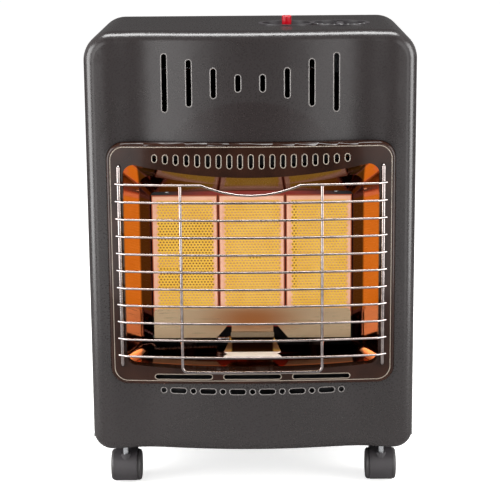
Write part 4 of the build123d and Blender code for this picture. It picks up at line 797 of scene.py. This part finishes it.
bezel_low, bezel_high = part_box("burner_bezel")
bezel_middle, bezel_size = (bezel_low + bezel_high) / 2, bezel_high - bezel_low
bezel_outlines.append(stadium(bezel_middle.x, bezel_middle.z, bezel_size.x, bezel_size.z,
                              -FLANGE - LINE_INSET, LINE_CORNER))
bezel_lines = outline_mesh("bezel_rims", bezel_outlines)

# %% Rims on the panel and the bezel
RIM_SUNK = 0.35 * BEAD
RIM_STEP = 1.2 * MM

# painted highlight: both bead finishes are far lighter than the coat and enamel under them
rim_highlight_coat = plain_textured("rolled_edge_powder_coat", "#6e6a68", 0.25, 3 * MM, 0.01 * MM)
rim_highlight_enamel = plain_textured("rolled_edge_enamel", "#7d7368", 0.15, 3 * MM, 0.01 * MM)
for lines, sheet, finish, rim_slot in (
    (panel_lines, "front_panel", rim_highlight_coat, "cabinet_enamel"),
    (bezel_lines, "burner_bezel", rim_highlight_enamel, "bezel_enamel"),
):
    make_piece(lines.name, RIM_TREE, {
        "Sheet": nodes[sheet], "Bead": BEAD, "Sunk": RIM_SUNK, "Step": RIM_STEP, "Finish": finish,
    }, "cabinet", lines)

# %% [markdown]
# ## Printed dial
#
# The knob's setting is read against a row of white dots printed on the rim of its dish. The tree
# puts a thin disc on every point of an arc.

# %% Dial marks
DIAL_RADIUS = 36.6 * MM
DIAL_START, DIAL_SWEEP = math.radians(215), math.radians(110)
DIAL_DOTS = 9
DOT_RADIUS, DOT_HEIGHT, DOT_SIDES = 1.1 * MM, 0.2 * MM, 12


def dial_tree():
    tree, given = new_tree("dial marks", {
        "Centre": "Vector", "Radius": "Float", "From": "Float", "Sweep": "Float", "Count": "Int",
        "Dot": "Float", "Ink": "Material",
    })
    arc = add(tree, "GeometryNodeCurveArc", {
        "Resolution": (given, "Count"), "Radius": (given, "Radius"), "Start Angle": (given, "From"),
        "Sweep Angle": (given, "Sweep"),
    }, mode="RADIUS")
    places = add(tree, "GeometryNodeCurveToPoints", {"Curve": arc}, mode="EVALUATED")
    dot = add(tree, "GeometryNodeMeshCylinder", {
        "Vertices": DOT_SIDES, "Radius": (given, "Dot"), "Depth": DOT_HEIGHT,
    })
    dots = add(tree, "GeometryNodeInstanceOnPoints", {"Points": places, "Instance": (dot, "Mesh")})
    placed = add(tree, "GeometryNodeTransform", {"Geometry": dots, "Translation": (given, "Centre")})
    return close_tree(tree, placed, (given, "Ink"))


dish_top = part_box("control_dish")[1].z
knob_low, knob_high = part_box("control_knob")
make_piece("dial_marks", dial_tree(), {
    "Centre": Vector(((knob_low.x + knob_high.x) / 2, (knob_low.y + knob_high.y) / 2, dish_top)),
    "Radius": DIAL_RADIUS, "From": DIAL_START, "Sweep": DIAL_SWEEP, "Count": DIAL_DOTS,
    "Dot": DOT_RADIUS, "Ink": white_print,
}, "cabinet")

# %% [markdown]
# ## Camera
#
# The camera stands a little above the heater and looks slightly down, with a long lens.

# %% Camera
CAMERA_AT = Vector((0.0117, -2.2691, 0.7863))
CAMERA_YAW = math.radians(-0.38)
CAMERA_DOWN = math.radians(12.46)
CAMERA_ROLL = math.radians(-0.46)
LENS = 120.23

camera_data = bpy.data.cameras.new("camera")
camera_data.lens = LENS
camera = bpy.data.objects.new("camera", camera_data)
bpy.context.scene.collection.objects.link(camera)
camera.matrix_world = (
    Matrix.Translation(CAMERA_AT)
    @ Matrix.Rotation(-CAMERA_YAW, 4, "Z")
    @ Matrix.Rotation(math.radians(90) - CAMERA_DOWN, 4, "X")
    @ Matrix.Rotation(CAMERA_ROLL, 4, "Z")
)
bpy.context.scene.camera = camera
print("camera at", tuple(round(value, 3) for value in camera.location))

# %% [markdown]
# ## Softboxes
#
# Five soft lamps light the heater. Two tall ones at the sides draw the highlights down the
# cabinet's round edges. Two narrow, weak ones further forward carry that light on to the panel,
# which is brighter to the left. The one above lights the rolled top edge.

# %% Softboxes
HEATER_MIDDLE = (0, 0, 0.32)
SOFTBOXES = (      # name, place, width and height in metres, and power in watts
    ("left softbox", (-1.15, -0.60, 0.55), 0.7, 1.1, 22),
    ("right softbox", (1.15, -0.60, 0.55), 0.6, 1.1, 18),
    ("front left softbox", (-0.52, -1.1, 0.46), 0.4, 0.9, 3.2),
    ("front right softbox", (0.52, -1.1, 0.46), 0.4, 0.9, 2.4),
    ("top softbox", (0, -0.35, 2.2), 1.6, 0.6, 60),
)


def softbox(name, place, width, height, power):
    """Rectangular lamp at a place, facing the heater."""
    lamp = bpy.data.lights.new(name, "AREA")
    lamp.shape = "RECTANGLE"
    lamp.size = width
    lamp.size_y = height
    lamp.energy = power
    holder = bpy.data.objects.new(name, lamp)
    bpy.context.scene.collection.objects.link(holder)
    holder.location = place
    aim = Vector(HEATER_MIDDLE) - Vector(place)
    holder.rotation_euler = aim.to_track_quat("-Z", "Y").to_euler()
    print(name, "shines", power, "W")


for row in SOFTBOXES:
    softbox(*row)

# %% [markdown]
# ## Surround and floor
#
# The camera sees a white surround. The heater is lit by an uneven one, as in a studio: bright at
# the sides, and dim ahead and behind, so that the flat front mirrors little. The paper on the floor
# glows to the camera only, which keeps it white and still lets it take the heater's shadow. Glossy
# pieces mirror the paper as a mid grey, so that the panel stays dark towards its foot.

# %% Surround
SURROUND_SIDES = 0.60        # brightness of the surround at the sides
SURROUND_FRONT = 0.10        # and where its direction has little X, as ahead and behind
FRONT_X, SIDES_X = 0.05, 0.65        # X of the direction where each of the two holds


def white_surround():
    world = bpy.data.worlds.new("white surround")
    world.use_nodes = True
    tree = world.node_tree
    ray = add(tree, "ShaderNodeLightPath")
    place = add(tree, "ShaderNodeTexCoord")
    way = add(tree, "ShaderNodeSeparateXYZ", {0: (place, "Generated")})
    aside = add(tree, "ShaderNodeMath", {0: (way, "X")}, operation="ABSOLUTE")
    light = add(tree, "ShaderNodeMapRange", {
        "Value": aside, "From Min": FRONT_X, "From Max": SIDES_X,
        "To Min": SURROUND_FRONT, "To Max": SURROUND_SIDES,
    }, interpolation_type="SMOOTHSTEP")
    level = add(tree, "ShaderNodeMapRange", {"Value": (ray, "Is Camera Ray"), "To Min": light, "To Max": 1.0})
    wire(tree, tree.nodes["Background"], {"Color": (1, 1, 1, 1), "Strength": level})
    bpy.context.scene.world = world
    return show(world, tree)


white_surround()

# %% Floor
FLOOR_HALF = 14.0            # half its side, in metres
FLOOR_GLOW = 0.68
PAPER = "#f4f3f1"
PAPER_IN_GLOSS = "#8a8a8a"   # the paper as the glossy sheet reflects it


def white_paper():
    material, tree, shader = new_finish("white_paper", {"Roughness": 0.9, "Emission Color": (1, 1, 1, 1)})
    ray = add(tree, "ShaderNodeLightPath")
    wire(tree, shader, {
        "Base Color": between(tree, (ray, "Is Glossy Ray"), PAPER, PAPER_IN_GLOSS),
        "Emission Strength": add(tree, "ShaderNodeMath", {
            0: (ray, "Is Camera Ray"), 1: FLOOR_GLOW,
        }, operation="MULTIPLY"),
    })
    return show(material, tree)


floor_mesh = bpy.data.meshes.new("studio_floor")
floor_mesh.from_pydata([
    (-FLOOR_HALF, -FLOOR_HALF, 0), (FLOOR_HALF, -FLOOR_HALF, 0),
    (FLOOR_HALF, FLOOR_HALF, 0), (-FLOOR_HALF, FLOOR_HALF, 0),
], [], [(0, 1, 2, 3)])
floor_mesh.materials.append(white_paper())
floor = bpy.data.objects.new("studio_floor", floor_mesh)
bpy.context.scene.collection.objects.link(floor)
floor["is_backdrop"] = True
bpy.context.scene.view_settings.view_transform = "Standard"

# %% [markdown]
# ## Measure and finish
#
# The dressed heater has to stay the size of its solids. Its size is printed.

# %% Finish
low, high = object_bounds()
print("dressed size, mm:", [round((b - a) / MM, 1) for a, b in zip(low, high)])
